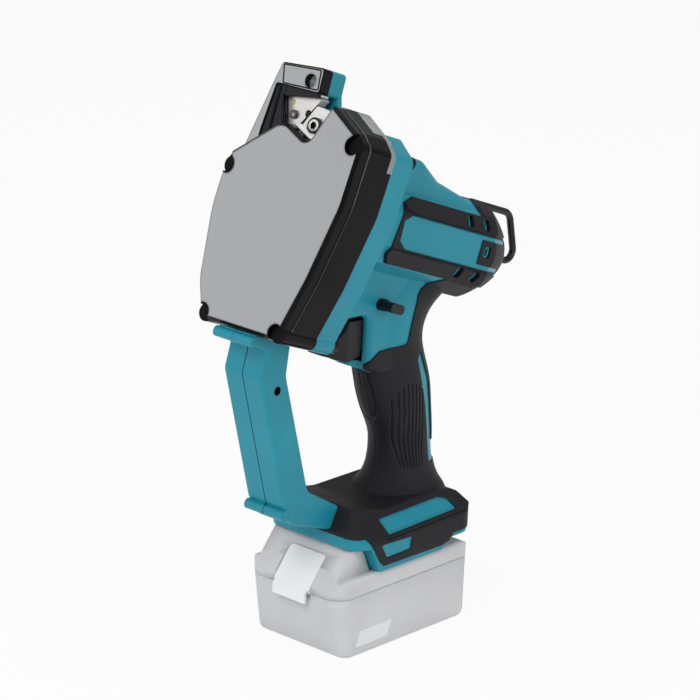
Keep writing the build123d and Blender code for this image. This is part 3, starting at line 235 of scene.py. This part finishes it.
def makeGrainGroup(s):
    # broad tone, fine speckle and a rounded, grained normal for moulded and cast skins
    tree, given, out = newGroup(
        "mouldGrain",
        {"Grain Scale": 2600.0, "Grain Depth": 0.00002, "Edge Radius": 0.0005},
        {"Tone": "NodeSocketFloat", "Speckle": "NodeSocketFloat", "Normal": "NodeSocketVector"},
    )
    place = addNode(tree, "TexCoord").outputs["Object"]
    tone = spread(tree, noiseNode(tree, place, s["toneScale"], s["toneDetail"]), *s["toneRange"])
    speckle = noiseNode(tree, place, given.outputs["Grain Scale"], s["speckleDetail"])
    rounded = addNode(tree, "Bevel", samples=s["bevelSamples"])
    tree.links.new(given.outputs["Edge Radius"], rounded.inputs["Radius"])
    bump = addNode(tree, "Bump")
    tree.links.new(speckle, bump.inputs["Height"])
    tree.links.new(given.outputs["Grain Depth"], bump.inputs["Distance"])
    tree.links.new(rounded.outputs[0], bump.inputs["Normal"])
    tree.links.new(tone, out.inputs["Tone"])
    tree.links.new(speckle, out.inputs["Speckle"])
    tree.links.new(bump.outputs[0], out.inputs["Normal"])
    return tree


def makeWearGroup(s):
    # mask of rubbed edges, broken up so that it isn't an even line
    tree, given, out = newGroup(
        "edgeWear",
        {"Reach": 0.0012, "Break Up": 260.0},
        {"Mask": "NodeSocketFloat"},
    )
    place = addNode(tree, "TexCoord").outputs["Object"]
    rounded = addNode(tree, "Bevel", samples=s["bevelSamples"])
    tree.links.new(given.outputs["Reach"], rounded.inputs["Radius"])
    facing = addNode(tree, "VectorMath", operation="DOT_PRODUCT")
    tree.links.new(rounded.outputs[0], facing.inputs[0])
    tree.links.new(addNode(tree, "NewGeometry").outputs["Normal"], facing.inputs[1])
    edge = spread(tree, facing.outputs["Value"], *s["edgeRange"])
    patches = noiseNode(tree, place, given.outputs["Break Up"], s["breakDetail"])
    broken = spread(tree, patches, *s["breakRange"])
    mask = addNode(tree, "Math", operation="MULTIPLY")
    tree.links.new(edge, mask.inputs[0])
    tree.links.new(broken, mask.inputs[1])
    tree.links.new(mask.outputs[0], out.inputs["Mask"])
    return tree


def makeBrushGroup(s):
    # fine scratches that run one way over ground or plated metal
    tree, given, out = newGroup(
        "groundLines",
        {"Along": 60.0, "Across": 2400.0, "Depth": 0.00001, "Edge Radius": 0.0003},
        {"Lines": "NodeSocketFloat", "Tone": "NodeSocketFloat", "Normal": "NodeSocketVector"},
    )
    place = addNode(tree, "TexCoord").outputs["Object"]
    stretch = addNode(tree, "CombineXYZ")
    for axis, label in zip("XYZ", ("Across", "Along", "Across")):
        tree.links.new(given.outputs[label], stretch.inputs[axis])
    scaled = addNode(tree, "VectorMath", operation="MULTIPLY")
    tree.links.new(place, scaled.inputs[0])
    tree.links.new(stretch.outputs[0], scaled.inputs[1])
    lines = noiseNode(tree, scaled.outputs[0], 1.0, s["lineDetail"])
    tone = spread(tree, noiseNode(tree, place, s["brushToneScale"], s["toneDetail"]), *s["toneRange"])
    rounded = addNode(tree, "Bevel", samples=s["bevelSamples"])
    tree.links.new(given.outputs["Edge Radius"], rounded.inputs["Radius"])
    bump = addNode(tree, "Bump")
    tree.links.new(lines, bump.inputs["Height"])
    tree.links.new(given.outputs["Depth"], bump.inputs["Distance"])
    tree.links.new(rounded.outputs[0], bump.inputs["Normal"])
    tree.links.new(lines, out.inputs["Lines"])
    tree.links.new(tone, out.inputs["Tone"])
    tree.links.new(bump.outputs[0], out.inputs["Normal"])
    return tree


groups = {
    "grain": makeGrainGroup(patternSettings),
    "wear": makeWearGroup(patternSettings),
    "brush": makeBrushGroup(patternSettings),
}
print("shader groups built")


# finishes
def placeGroup(tree, group, values):
    node = tree.nodes.new("ShaderNodeGroup")
    node.node_tree = groups[group]
    for label, value in values.items():
        node.inputs[label].default_value = value
    return node


def blendColours(tree, factor, first, second):
    # the node's colours go in at sockets 6 and 7 and come out at 2
    mix = addNode(tree, "Mix", data_type="RGBA")
    tree.links.new(factor, mix.inputs["Factor"])
    for socket, colour in ((mix.inputs[6], first), (mix.inputs[7], second)):
        if isinstance(colour, tuple):
            socket.default_value = (*colour, 1)
        else:
            tree.links.new(colour, socket)
    return mix.outputs[2]


def newFinish(name, shader):
    mat = bpy.data.materials.new(name)
    mat.use_nodes = True
    tree = mat.node_tree
    principled = tree.nodes["Principled BSDF"]
    for label, value in shader.items():
        principled.inputs[label].default_value = value
    return mat, tree, principled


def moulded(name, s):
    mat, tree, principled = newFinish(name, s.get("shader", {}))
    grain = placeGroup(tree, "grain", s["grain"])
    colour = blendColours(tree, grain.outputs["Tone"], s["deep"], s["light"])
    if "worn" in s:
        wear = placeGroup(tree, "wear", s["wear"])
        colour = blendColours(tree, wear.outputs["Mask"], colour, s["worn"])
    tree.links.new(colour, principled.inputs["Base Color"])
    rough = spread(tree, grain.outputs["Speckle"], *patternSettings["roughRange"], *s["roughness"])
    tree.links.new(rough, principled.inputs["Roughness"])
    tree.links.new(grain.outputs["Normal"], principled.inputs["Normal"])
    return mat


def groundMetal(name, s):
    mat, tree, principled = newFinish(name, {"Metallic": 1.0, **s.get("shader", {})})
    brush = placeGroup(tree, "brush", s["brush"])
    colour = blendColours(tree, brush.outputs["Tone"], s["deep"], s["light"])
    tree.links.new(colour, principled.inputs["Base Color"])
    rough = spread(tree, brush.outputs["Lines"], *patternSettings["roughRange"], *s["roughness"])
    tree.links.new(rough, principled.inputs["Roughness"])
    tree.links.new(brush.outputs["Normal"], principled.inputs["Normal"])
    return mat


mouldedFinishes = {
    "teal_shell": {
        "deep": (0.011, 0.26, 0.35), "light": (0.014, 0.29, 0.385), "worn": (0.05, 0.34, 0.43),
        "roughness": (0.32, 0.44), "shader": {"Specular IOR Level": 0.3},
        "grain": {"Grain Scale": 1900.0, "Grain Depth": 0.000018, "Edge Radius": 0.0007},
        "wear": {"Reach": 0.0009, "Break Up": 180.0},
    },
    "teal_casting": {
        "deep": (0.011, 0.26, 0.35), "light": (0.014, 0.29, 0.385), "worn": (0.05, 0.34, 0.43),
        "roughness": (0.3, 0.42), "shader": {"Specular IOR Level": 0.3},
        "grain": {"Grain Scale": 900.0, "Grain Depth": 0.00003, "Edge Radius": 0.0007},
        "wear": {"Reach": 0.0009, "Break Up": 180.0},
    },
    "gloss_black": {
        "deep": (0.003, 0.003, 0.0035), "light": (0.005, 0.005, 0.006), "worn": (0.03, 0.03, 0.033),
        "roughness": (0.1, 0.16), "shader": {"Specular IOR Level": 0.1},
        "grain": {"Grain Scale": 700.0, "Grain Depth": 0.000004, "Edge Radius": 0.0009},
        "wear": {"Reach": 0.0006, "Break Up": 240.0},
    },
    "cover_face": {
        "deep": (0.006, 0.006, 0.007), "light": (0.009, 0.009, 0.0105),
        "roughness": (0.08, 0.12),
        "shader": {"Specular IOR Level": 1.0, "Coat Weight": 1.0, "Coat IOR": 1.6, "Coat Roughness": 0.06},
        "grain": {"Grain Scale": 700.0, "Grain Depth": 0.000002, "Edge Radius": 0.0016},
    },
    # dull black: the cover's own finish in the wells over its screws, and painted shade on the strut's screw
    # well, the guide bolt's socket and the strut's seam
    "boss_recess": {
        "deep": (0.005, 0.005, 0.005), "light": (0.008, 0.008, 0.008),
        "roughness": (0.7, 0.85), "shader": {"Specular IOR Level": 0.1},
        "grain": {"Grain Scale": 900.0, "Grain Depth": 0.00003, "Edge Radius": 0.0002},
    },
    "black_rubber": {
        "deep": (0.0115, 0.011, 0.013), "light": (0.0165, 0.0155, 0.018), "worn": (0.04, 0.039, 0.042),
        "roughness": (0.5, 0.66), "shader": {"Specular IOR Level": 0.22},
        "grain": {"Grain Scale": 1500.0, "Grain Depth": 0.00006, "Edge Radius": 0.0014},
        "wear": {"Reach": 0.001, "Break Up": 150.0},
    },
    "black_plastic": {
        "deep": (0.011, 0.0105, 0.0115), "light": (0.015, 0.0145, 0.016), "worn": (0.05, 0.05, 0.052),
        "roughness": (0.32, 0.46), "shader": {"Specular IOR Level": 0.26},
        "grain": {"Grain Scale": 1700.0, "Grain Depth": 0.00003, "Edge Radius": 0.0006},
        "wear": {"Reach": 0.0008, "Break Up": 200.0},
    },
    "battery_grey": {
        "deep": (0.62, 0.62, 0.63), "light": (0.67, 0.67, 0.68), "worn": (0.74, 0.74, 0.75),
        "roughness": (0.4, 0.55), "shader": {"Specular IOR Level": 0.4},
        "grain": {"Grain Scale": 1700.0, "Grain Depth": 0.00003, "Edge Radius": 0.0008},
        "wear": {"Reach": 0.001, "Break Up": 160.0},
    },
    "button_white": {
        "deep": (0.92, 0.92, 0.92), "light": (0.95, 0.95, 0.95),
        "roughness": (0.3, 0.42),
        "grain": {"Grain Scale": 1900.0, "Grain Depth": 0.00001, "Edge Radius": 0.0006},
    },
    "label_white": {
        "deep": (0.8, 0.8, 0.81), "light": (0.84, 0.84, 0.85),
        "roughness": (0.25, 0.35),
        "grain": {"Grain Scale": 1200.0, "Grain Depth": 0.000006, "Edge Radius": 0.0002},
    },
    "yellow_paint": {
        "deep": (0.72, 0.46, 0.01), "light": (0.84, 0.58, 0.02),
        "roughness": (0.3, 0.45),
        "grain": {"Grain Scale": 1600.0, "Grain Depth": 0.00003, "Edge Radius": 0.0002},
    },
    "board": {
        "deep": (0.012, 0.075, 0.03), "light": (0.02, 0.12, 0.045),
        "roughness": (0.25, 0.4), "shader": {"Coat Weight": 0.3},
        "grain": {"Grain Scale": 900.0, "Grain Depth": 0.00003, "Edge Radius": 0.0002},
    },
    "cell_can": {
        "deep": (0.05, 0.12, 0.3), "light": (0.07, 0.15, 0.36),
        "roughness": (0.25, 0.35),
        "grain": {"Grain Scale": 600.0, "Grain Depth": 0.00001, "Edge Radius": 0.0004},
    },
    "gearbox_casing": {
        "deep": (0.42, 0.42, 0.43), "light": (0.5, 0.5, 0.51),
        "roughness": (0.4, 0.6), "shader": {"Metallic": 1.0},
        "grain": {"Grain Scale": 500.0, "Grain Depth": 0.00008, "Edge Radius": 0.0005},
    },
    "motor_iron": {
        "deep": (0.1, 0.095, 0.09), "light": (0.16, 0.15, 0.145),
        "roughness": (0.4, 0.6), "shader": {"Metallic": 1.0},
        "grain": {"Grain Scale": 800.0, "Grain Depth": 0.00004, "Edge Radius": 0.0003},
    },
    "clear_lens": {
        "deep": (0.86, 0.89, 0.91), "light": (0.92, 0.95, 0.96),
        "roughness": (0.06, 0.12), "shader": {"Transmission Weight": 0.72, "IOR": 1.49},
        "grain": {"Grain Scale": 260.0, "Grain Depth": 0.00004, "Edge Radius": 0.0003},
    },
}
metalFinishes = {
    "nickel_plate": {
        "deep": (0.62, 0.605, 0.585), "light": (0.72, 0.705, 0.685), "roughness": (0.42, 0.54),
        "brush": {"Along": 70.0, "Across": 1800.0, "Depth": 0.000012, "Edge Radius": 0.0004},
    },
    "machined_steel": {
        "deep": (0.45, 0.45, 0.46), "light": (0.56, 0.56, 0.57), "roughness": (0.22, 0.38),
        "brush": {"Along": 90.0, "Across": 2600.0, "Depth": 0.000015, "Edge Radius": 0.0003},
    },
    "black_screw": {
        "deep": (0.025, 0.025, 0.027), "light": (0.04, 0.04, 0.043), "roughness": (0.2, 0.34),
        "brush": {"Along": 300.0, "Across": 900.0, "Depth": 0.00001, "Edge Radius": 0.0004},
    },
    "dark_oxide": {
        "deep": (0.05, 0.05, 0.053), "light": (0.08, 0.08, 0.084), "roughness": (0.3, 0.42),
        "brush": {"Along": 300.0, "Across": 1200.0, "Depth": 0.00001, "Edge Radius": 0.0003},
    },
    "contact_brass": {
        "deep": (0.6, 0.42, 0.15), "light": (0.7, 0.5, 0.2), "roughness": (0.2, 0.34),
        "brush": {"Along": 90.0, "Across": 2000.0, "Depth": 0.00001, "Edge Radius": 0.0002},
    },
}
finishes = {name: moulded(name, s) for name, s in mouldedFinishes.items()}
finishes.update({name: groundMetal(name, s) for name, s in metalFinishes.items()})
for part in frame["record"]["subparts"]:
    data = nodes[part["node"]].data
    data.materials.clear()
    data.materials.append(finishes[part["material_slot"]])
print("finishes set:", len(finishes))

# the head leans back: its places are across the tool, up the plate and back from the cover's face
# from here on edge, bead, weld and the strut well's reach are in m, and other lengths are in mm
perMetre = 1000
headSettings = {"origin": (119.2, 0.0, 214.9), "pitch": 20.3}
lean = math.radians(headSettings["pitch"])
faceNormal = Vector((math.cos(lean), 0, math.sin(lean)))
plateUp = Vector((-math.sin(lean), 0, math.cos(lean)))


def headPoint(across, up, back):
    place = Vector(headSettings["origin"]) + Vector((0, across, 0)) + plateUp * up - faceNormal * back
    return place / perMetre


def headDepth(point):
    return (Vector(headSettings["origin"]) - point * perMetre).dot(faceNormal)


# the cover's flat front is polished and the wells over its screws are dull; the guide bolt's socket is
# painted black as painted shade, and the die screw's socket is painted light nickel as a painted highlight
coverSettings = {
    "polishedDepths": (0.0, 9.0, 15.0), "wellDepths": (4.0,), "tolerance": 0.1,    # behind the face
    "facing": 0.999,
}
socketSettings = {
    # its socket's faces get dull black: painted shade in the hole of a nickel bolt
    "guide_bolt": {
        "at": (1, 121.6), "radius": 2.4, "below": 17.45, "head": "nickel_plate", "well": "boss_recess",
    },
    # its socket's faces get light nickel: a painted highlight on a dark oxide screw
    "die_screw": {
        "at": (-16.8, 125), "radius": 1.32, "below": 18.45, "head": "dark_oxide", "well": "nickel_plate",
    },
}
strutWellShadeSettings = {"node": "left_strut", "reach": 0.0029, "facing": 0.99}


def splitCover(s):
    mesh = nodes["front_cover"].data
    mesh.materials.append(finishes["cover_face"])
    mesh.materials.append(finishes["boss_recess"])
    for face in mesh.polygons:
        if face.normal.dot(faceNormal) < s["facing"]:
            continue
        for index, label in enumerate(("polishedDepths", "wellDepths"), 1):
            if any(abs(headDepth(face.center) - depth) < s["tolerance"] for depth in s[label]):
                face.material_index = index


def splitSocket(node, s):
    mesh = nodes[node].data
    mesh.materials[0] = finishes[s["head"]]
    mesh.materials.append(finishes[s["well"]])
    middle = headPoint(*s["at"], 0)
    for face in mesh.polygons:
        offset = face.center - middle
        offset -= faceNormal * offset.dot(faceNormal)
        if offset.length * perMetre < s["radius"] and headDepth(face.center) > s["below"]:
            face.material_index = 1


# the walls of the well round the strut screw get the dull black finish: painted shade in the recess
def paintStrutWellShade(s):
    low, high = (Vector(corner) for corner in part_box("strut_screw"))
    middle = (low + high) / 2
    mesh = nodes[s["node"]].data
    mesh.materials.append(finishes["boss_recess"])
    for face in mesh.polygons:
        offset = face.center - middle
        if math.hypot(offset.x, offset.z) < s["reach"] and abs(face.normal.y) < s["facing"]:
            face.material_index = 1


splitCover(coverSettings)
for node, s in socketSettings.items():
    splitSocket(node, s)
paintStrutWellShade(strutWellShadeSettings)
print("cover, sockets and strut well split")


# pieces added to the frame
def addPiece(name, mesh, finish, body):
    mesh.materials.clear()
    mesh.materials.append(finishes[finish])
    piece = bpy.data.objects.new(name, mesh)
    bpy.context.collection.objects.link(piece)
    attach(piece, body)
    return piece


def toMesh(name, form):
    bmesh.ops.recalc_face_normals(form, faces=form.faces)
    mesh = bpy.data.meshes.new(name)
    form.to_mesh(mesh)
    form.free()
    return mesh


def prism(name, near, far, edge, segments=3):
    # near and far are the same outline's points on its two sides
    form = bmesh.new()
    front = [form.verts.new(p) for p in near]
    back = [form.verts.new(p) for p in far]
    form.faces.new(front)
    form.faces.new(back[::-1])
    for i in range(len(front)):
        j = (i + 1) % len(front)
        form.faces.new((front[j], front[i], back[i], back[j]))
    if edge:
        bmesh.ops.bevel(
            form, geom=list(form.edges), offset=edge, segments=segments, profile=0.5, affect="EDGES",
        )
    return toMesh(name, form)


def headPrism(name, outline, depths, edge):
    sides = [[headPoint(*corner, depth) for corner in outline] for depth in depths]
    return prism(name, *sides, edge)


# black hood over the top of the window, in front of the arm
hoodSettings = {
    "corners": ((-30.5, 141), (-0.2, 141), (0.7, 137.4), (-24.8, 133.9), (-30.5, 133.2)),
    "depths": (16.3, 18.0), "edge": 0.0003,
}


def makeHood(s):
    mesh = headPrism("windowHood", s["corners"], s["depths"], s["edge"])
    addPiece("windowHood", mesh, "gloss_black", "tool")


makeHood(hoodSettings)
print("window hood made")

# plated foot of the guide, in the cover's throat, and the stem that holds it to the guide block
throatSettings = {
    "plate": (
        (-2.5, 119.9), (1.8, 118), (7, 115.6), (11, 113.9), (13.2, 113.1), (14.6, 114), (16.2, 118),
        (14, 116.6), (12.4, 115.6), (9.4, 116.6), (7.3, 118.5), (5.9, 120.2), (1.5, 120.7),
    ),
    "stem": ((6.6, 116.6), (8.2, 115.7), (12.4, 114), (12.8, 114.9), (8.8, 117)),
    "plateDepths": (4.6, 5.8), "stemDepths": (5.6, 20.1), "edge": 0.0002,
}


def makeThroat(s):
    form = bmesh.new()
    for outline, depths in ((s["plate"], s["plateDepths"]), (s["stem"], s["stemDepths"])):
        part = headPrism("throatPart", outline, depths, s["edge"])
        form.from_mesh(part)
        bpy.data.meshes.remove(part)
    addPiece("throatFoot", toMesh("throatFoot", form), "nickel_plate", "tool")


makeThroat(throatSettings)
print("throat foot made")

# dab of yellow paint that marks the arm
dabSettings = {
    "at": (-19.7, 131.9), "surface": 20.0, "radius": (0.95, 1.5), "height": 0.12, "turn": 20.0,
    "waves": ((3, 0.1, 0.6), (5, 0.06, 0.0)),    # count, size and phase of the ragged rim
    "crown": 3, "rings": 5, "points": 28,
}


def makeDab(s):
    form = bmesh.new()
    loops = []
    turn = math.radians(s["turn"])
    for ring in range(1, s["rings"] + 1):
        share = ring / s["rings"]
        loop = []
        for k in range(s["points"]):
            angle = 2 * math.pi * k / s["points"]
            ragged = 1 + sum(size * math.sin(count * angle + phase) for count, size, phase in s["waves"])
            across = s["radius"][0] * share * ragged * math.cos(angle)
            up = s["radius"][1] * share * ragged * math.sin(angle)
            place = (
                s["at"][0] + across * math.cos(turn) - up * math.sin(turn),
                s["at"][1] + across * math.sin(turn) + up * math.cos(turn),
            )
            rise = s["height"] * (1 - share ** s["crown"])
            loop.append(form.verts.new(headPoint(*place, s["surface"] - rise)))
        loops.append(loop)
    top = form.verts.new(headPoint(*s["at"], s["surface"] - s["height"]))
    for k in range(s["points"]):
        j = (k + 1) % s["points"]
        form.faces.new((top, loops[0][k], loops[0][j]))
        for inner, outer in zip(loops, loops[1:]):
            form.faces.new((inner[k], outer[k], outer[j], inner[j]))
    form.faces.new(loops[-1][::-1])
    mesh = toMesh("paintDab", form)
    mesh.shade_smooth()
    addPiece("paintDab", mesh, "yellow_paint", "cutter")


makeDab(dabSettings)
print("paint dab made")

# battery shells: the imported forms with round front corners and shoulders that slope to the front
batterySettings = {
    "front": ((-1, 52.3), (0, 52.5), (42.5, 62), (60, 62)),    # height and foremost point
    "back": -58.0,
    "halfWidth": 37.0,
    "frontCorner": (8.0, 12.0),    # at the bottom and at cornerHeight
    "cornerHeight": 42.5,
    "backCorner": 5.5,
    "bottomEdge": 3.5,
    "skin": 0.15,              # the envelope stands this far off the flat sides
    "cornerPoints": 14,
    "heights": (-1, 0, 0.4, 1, 1.8, 2.6, 3.5, 12, 22, 32, 42.5, 80),
    "slope": ((62.6, 42.7), (43.6, 66.46)),    # ends of the sloped shoulder, along and up
    "wedgeRoom": 20.0, "wedgeHalf": 50.0,
    "weld": 1e-6,
    "smoothAngle": 32.0,
}


def frontAt(height, line):
    for (low, first), (high, second) in zip(line, line[1:]):
        if height <= high:
            return first + (second - first) * (height - low) / (high - low)
    return line[-1][1]


def envelopeLoop(height, s):
    edge = s["bottomEdge"]
    inset = edge - math.sqrt(edge ** 2 - (edge - max(height, 0)) ** 2) if height < edge else 0
    grow = s["skin"] - inset
    low, high = s["frontCorner"]
    frontCorner = low + (high - low) * min(max(height / s["cornerHeight"], 0), 1)
    front, back, half = frontAt(height, s["front"]) + grow, s["back"] - grow, s["halfWidth"] + grow
    loop = []
    for sx, sy, start in ((1, 1, 0), (0, 1, 90), (0, 0, 180), (1, 0, 270)):
        radius = (frontCorner if sx else s["backCorner"]) + grow
        cx = front - radius if sx else back + radius
        cy = half - radius if sy else radius - half
        for k in range(s["cornerPoints"] + 1):
            angle = math.radians(start + 90 * k / s["cornerPoints"])
            spot = Vector((cx + radius * math.cos(angle), cy + radius * math.sin(angle), height))
            loop.append(spot / perMetre)
    return loop


def batteryEnvelope(s):
    form = bmesh.new()
    loops = [[form.verts.new(p) for p in envelopeLoop(h, s)] for h in s["heights"]]
    for low, high in zip(loops, loops[1:]):
        for i in range(len(low)):
            j = (i + 1) % len(low)
            form.faces.new((low[i], low[j], high[j], high[i]))
    form.faces.new(loops[0][::-1])
    form.faces.new(loops[-1])
    return toMesh("batteryEnvelope", form)


def slopeWedge(s):
    (x0, z0), (x1, z1) = s["slope"]
    room, half = s["wedgeRoom"], s["wedgeHalf"]
    outline = [(x0, z0), (x1, z1), (x1, z1 + room), (x0 + room, z1 + room), (x0 + room, z0)]
    sides = [[Vector((x, y, z)) / perMetre for x, z in outline] for y in (-half, half)]
    return prism("slopeWedge", *sides, 0)


def mergedCopy(node, weld):
    form = bmesh.new()
    form.from_mesh(nodes[node].data)
    bmesh.ops.remove_doubles(form, verts=form.verts, dist=weld)
    mesh = bpy.data.meshes.new(node + "Copy")
    form.to_mesh(mesh)
    form.free()
    return mesh


def cutMesh(name, mesh, cuts):
    # booleans run on a throwaway object, and what they give is kept as a plain mesh
    work = bpy.data.objects.new(name, mesh)
    bpy.context.collection.objects.link(work)
    tools = []
    for cutter, operation in cuts:
        tool = bpy.data.objects.new(cutter.name, cutter)
        bpy.context.collection.objects.link(tool)
        modifier = work.modifiers.new(cutter.name, "BOOLEAN")
        modifier.operation = operation
        modifier.solver = "EXACT"
        modifier.object = tool
        tools.append(tool)
    result = bpy.data.meshes.new_from_object(work.evaluated_get(bpy.context.evaluated_depsgraph_get()))
    for spare in [work] + tools:
        bpy.data.objects.remove(spare)
    result.name = name
    return result


def makeBatteryShells(s):
    for node, name in (("battery_tray", "trayShell"), ("battery_lid", "lidShell")):
        cuts = [(batteryEnvelope(s), "INTERSECT")]
        if node == "battery_lid":
            cuts.append((slopeWedge(s), "DIFFERENCE"))
        mesh = cutMesh(name, mergedCopy(node, s["weld"]), cuts)
        mesh.shade_smooth()
        mesh.set_sharp_from_angle(angle=math.radians(s["smoothAngle"]))
        piece = addPiece(name, mesh, "battery_grey", "battery")
        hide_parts(node)
        print(name, len(mesh.polygons), "faces")


makeBatteryShells(batterySettings)
print("battery shells made")

# bare pale stripe on each side of the battery
stripeSettings = {
    "corners": ((43.6, 6.6), (40.2, 16.2), (12.2, 16.2), (15.6, 6.6)),
    "surface": 37.0, "proud": 0.15, "sunk": 0.4, "edge": 0.00006, "segments": 2,
}


def makeStripes(s):
    for name, side in (("leftStripe", 1), ("rightStripe", -1)):
        planes = (s["surface"] + s["proud"], s["surface"] - s["sunk"])
        faces = [[Vector((x, side * y, z)) / perMetre for x, z in s["corners"]] for y in planes]
        mesh = prism(name, *faces, s["edge"], s["segments"])
        addPiece(name, mesh, "label_white", "battery")


makeStripes(stripeSettings)
print("battery stripes made")


# beads swept along paths on the shell: rims of the vent slits, borders of plates and a painted shadow line in
# a seam
def makeBeadTree():
    tree = bpy.data.node_groups.new("beadAlongPath", "GeometryNodeTree")
    sockets = (
        ("Geometry", "INPUT", "NodeSocketGeometry"), ("Bead Radius", "INPUT", "NodeSocketFloat"),
        ("Bead Sides", "INPUT", "NodeSocketInt"), ("Finish", "INPUT", "NodeSocketMaterial"),
        ("Geometry", "OUTPUT", "NodeSocketGeometry"),
    )
    for label, way, kind in sockets:
        tree.interface.new_socket(label, in_out=way, socket_type=kind)
    given, out = tree.nodes.new("NodeGroupInput"), tree.nodes.new("NodeGroupOutput")
    kinds = ("MeshToCurve", "CurvePrimitiveCircle", "CurveToMesh", "RealizeInstances", "SetMaterial")
    path, ring, sweep, real, paint = (tree.nodes.new("GeometryNode" + kind) for kind in kinds)
    link = tree.links.new
    link(given.outputs["Geometry"], path.inputs["Mesh"])
    link(given.outputs["Bead Radius"], ring.inputs["Radius"])
    link(given.outputs["Bead Sides"], ring.inputs["Resolution"])
    link(path.outputs["Curve"], sweep.inputs["Curve"])
    link(ring.outputs["Curve"], sweep.inputs["Profile Curve"])
    link(sweep.outputs["Mesh"], real.inputs["Geometry"])
    link(real.outputs["Geometry"], paint.inputs["Geometry"])
    link(given.outputs["Finish"], paint.inputs["Material"])
    link(paint.outputs["Geometry"], out.inputs["Geometry"])
    return tree


beadTree = makeBeadTree()
sideReach = 100    # beyond the shell on either side


def shellAt(housing, side, place):
    # where a line across the tool first meets the housing
    start = Vector((place.x, side * sideReach / perMetre, place.z))
    _, spot, normal, _ = housing.ray_cast(start, Vector((0, -side, 0)))
    return spot, normal


def sweepBeads(name, loops, s, finish, body, closed=True):
    mesh = bpy.data.meshes.new(name + "Paths")
    points, edges = [], []
    for loop in loops:
        first = len(points)
        points += loop
        count = len(loop) if closed else len(loop) - 1
        edges += [(first + i, first + (i + 1) % len(loop)) for i in range(count)]
    mesh.from_pydata(points, edges, [])
    work = bpy.data.objects.new(name + "Paths", mesh)
    bpy.context.collection.objects.link(work)
    modifier = work.modifiers.new("beads", "NODES")
    modifier.node_group = beadTree
    values = {"Bead Radius": s["bead"], "Bead Sides": s["sides"], "Finish": finishes[finish]}
    for item in beadTree.interface.items_tree:
        if item.in_out == "INPUT" and item.name in values:
            modifier[item.identifier] = values[item.name]
    result = bpy.data.meshes.new_from_object(work.evaluated_get(bpy.context.evaluated_depsgraph_get()))
    work.modifiers.remove(modifier)
    bpy.data.objects.remove(work)
    result.name = name
    result.shade_smooth()
    return addPiece(name, result, finish, body)


ventSettings = {
    # back, up and turn of each slit
    "slits": ((147.6, 93.6, 0), (164, 93.6, 14), (147.6, 62.4, 0), (164.4, 62.2, -24), (168.4, 78.2, 0)),
    "halfWidth": 1.75, "halfHeight": 3.0, "lift": 0.3,
    "fullness": 0.6,    # 1 is an ellipse, and less is fuller at the corners
    "bead": 0.0006, "sides": 10, "points": 28, "slot": "teal_shell",
}
borderSettings = {
    "corners": ((18.6, 79.5), (-33.2, 80.1), (-39.5, 78.1), (-43.4, 73.4), (16.1, 72.5)),    # along and up
    "steps": 10, "bead": 0.00022, "sides": 8, "slot": "teal_shell",
}


def ventLoop(slit, side, s):
    back, up, turn = slit
    loop = []
    housing = nodes["left_housing" if side > 0 else "right_housing"]
    tilt = math.radians(turn)
    for k in range(s["points"]):
        angle = 2 * math.pi * k / s["points"]
        c, n = math.cos(angle), math.sin(angle)
        a = s["halfWidth"] * math.copysign(abs(c) ** s["fullness"], c)
        u = s["halfHeight"] * math.copysign(abs(n) ** s["fullness"], n)
        place = headPoint(
            0, up + a * math.sin(tilt) + u * math.cos(tilt), back + a * math.cos(tilt) - u * math.sin(tilt),
        )
        spot, normal = shellAt(housing, side, place)
        loop.append(spot + normal * s["lift"] / perMetre)
    return loop


def borderLoop(side, s):
    housing = nodes["left_housing" if side > 0 else "right_housing"]
    loop = []
    for (x0, z0), (x1, z1) in zip(s["corners"], s["corners"][1:] + s["corners"][:1]):
        for k in range(s["steps"]):
            share = k / s["steps"]
            place = Vector((x0 + (x1 - x0) * share, 0, z0 + (z1 - z0) * share)) / perMetre
            loop.append(shellAt(housing, side, place)[0])
    return loop


for label, side in (("left", 1), ("right", -1)):
    rims = [ventLoop(slit, side, ventSettings) for slit in ventSettings["slits"]]
    sweepBeads(label + "VentRims", rims, ventSettings, "teal_shell", "tool")
    border = borderLoop(side, borderSettings)
    sweepBeads(label + "PlateBorder", [border], borderSettings, "teal_shell", "tool")
print("vent rims and plate borders swept")

# painted shadow line: a dull black bead sunk in the gap between the strut's halves, down its front
seamSettings = {
    "ahead": 200.0, "probe": 0.25, "sunk": 0.12, "low": 86.0, "high": 203.0, "steps": 90,
    "bead": 0.00026, "sides": 6, "slot": "black_plastic",
}


def seamPath(s):
    # the ray runs beside the gap, and the path lies in it
    path = []
    for k in range(s["steps"] + 1):
        height = s["low"] + (s["high"] - s["low"]) * k / s["steps"]
        start = Vector((s["ahead"], s["probe"], height)) / perMetre
        hit, spot, _, _ = nodes["left_strut"].ray_cast(start, Vector((-1, 0, 0)))
        if hit:
            path.append(Vector((spot.x - s["sunk"] / perMetre, 0, spot.z)))
    return path


sweepBeads("strutSeamShadow", [seamPath(seamSettings)], seamSettings, "boss_recess", "tool", closed=False)
print("strut seam swept")

# black border round the plate at the top of the tower
capSettings = {
    "corners": (
        (-30.3, 150.9), (-29.4, 151.5), (-2.9, 153), (-2.1, 152.4),
        (-0.9, 142.2), (-1.5, 141.5), (-26.9, 140.9), (-27.7, 141.4),
    ),
    "depth": 15.0, "bead": 0.00045, "sides": 10, "slot": "gloss_black",
}
capLoop = [headPoint(*corner, capSettings["depth"]) for corner in capSettings["corners"]]
sweepBeads("capBorder", [capLoop], capSettings, "gloss_black", "tool")
print("cap border swept")
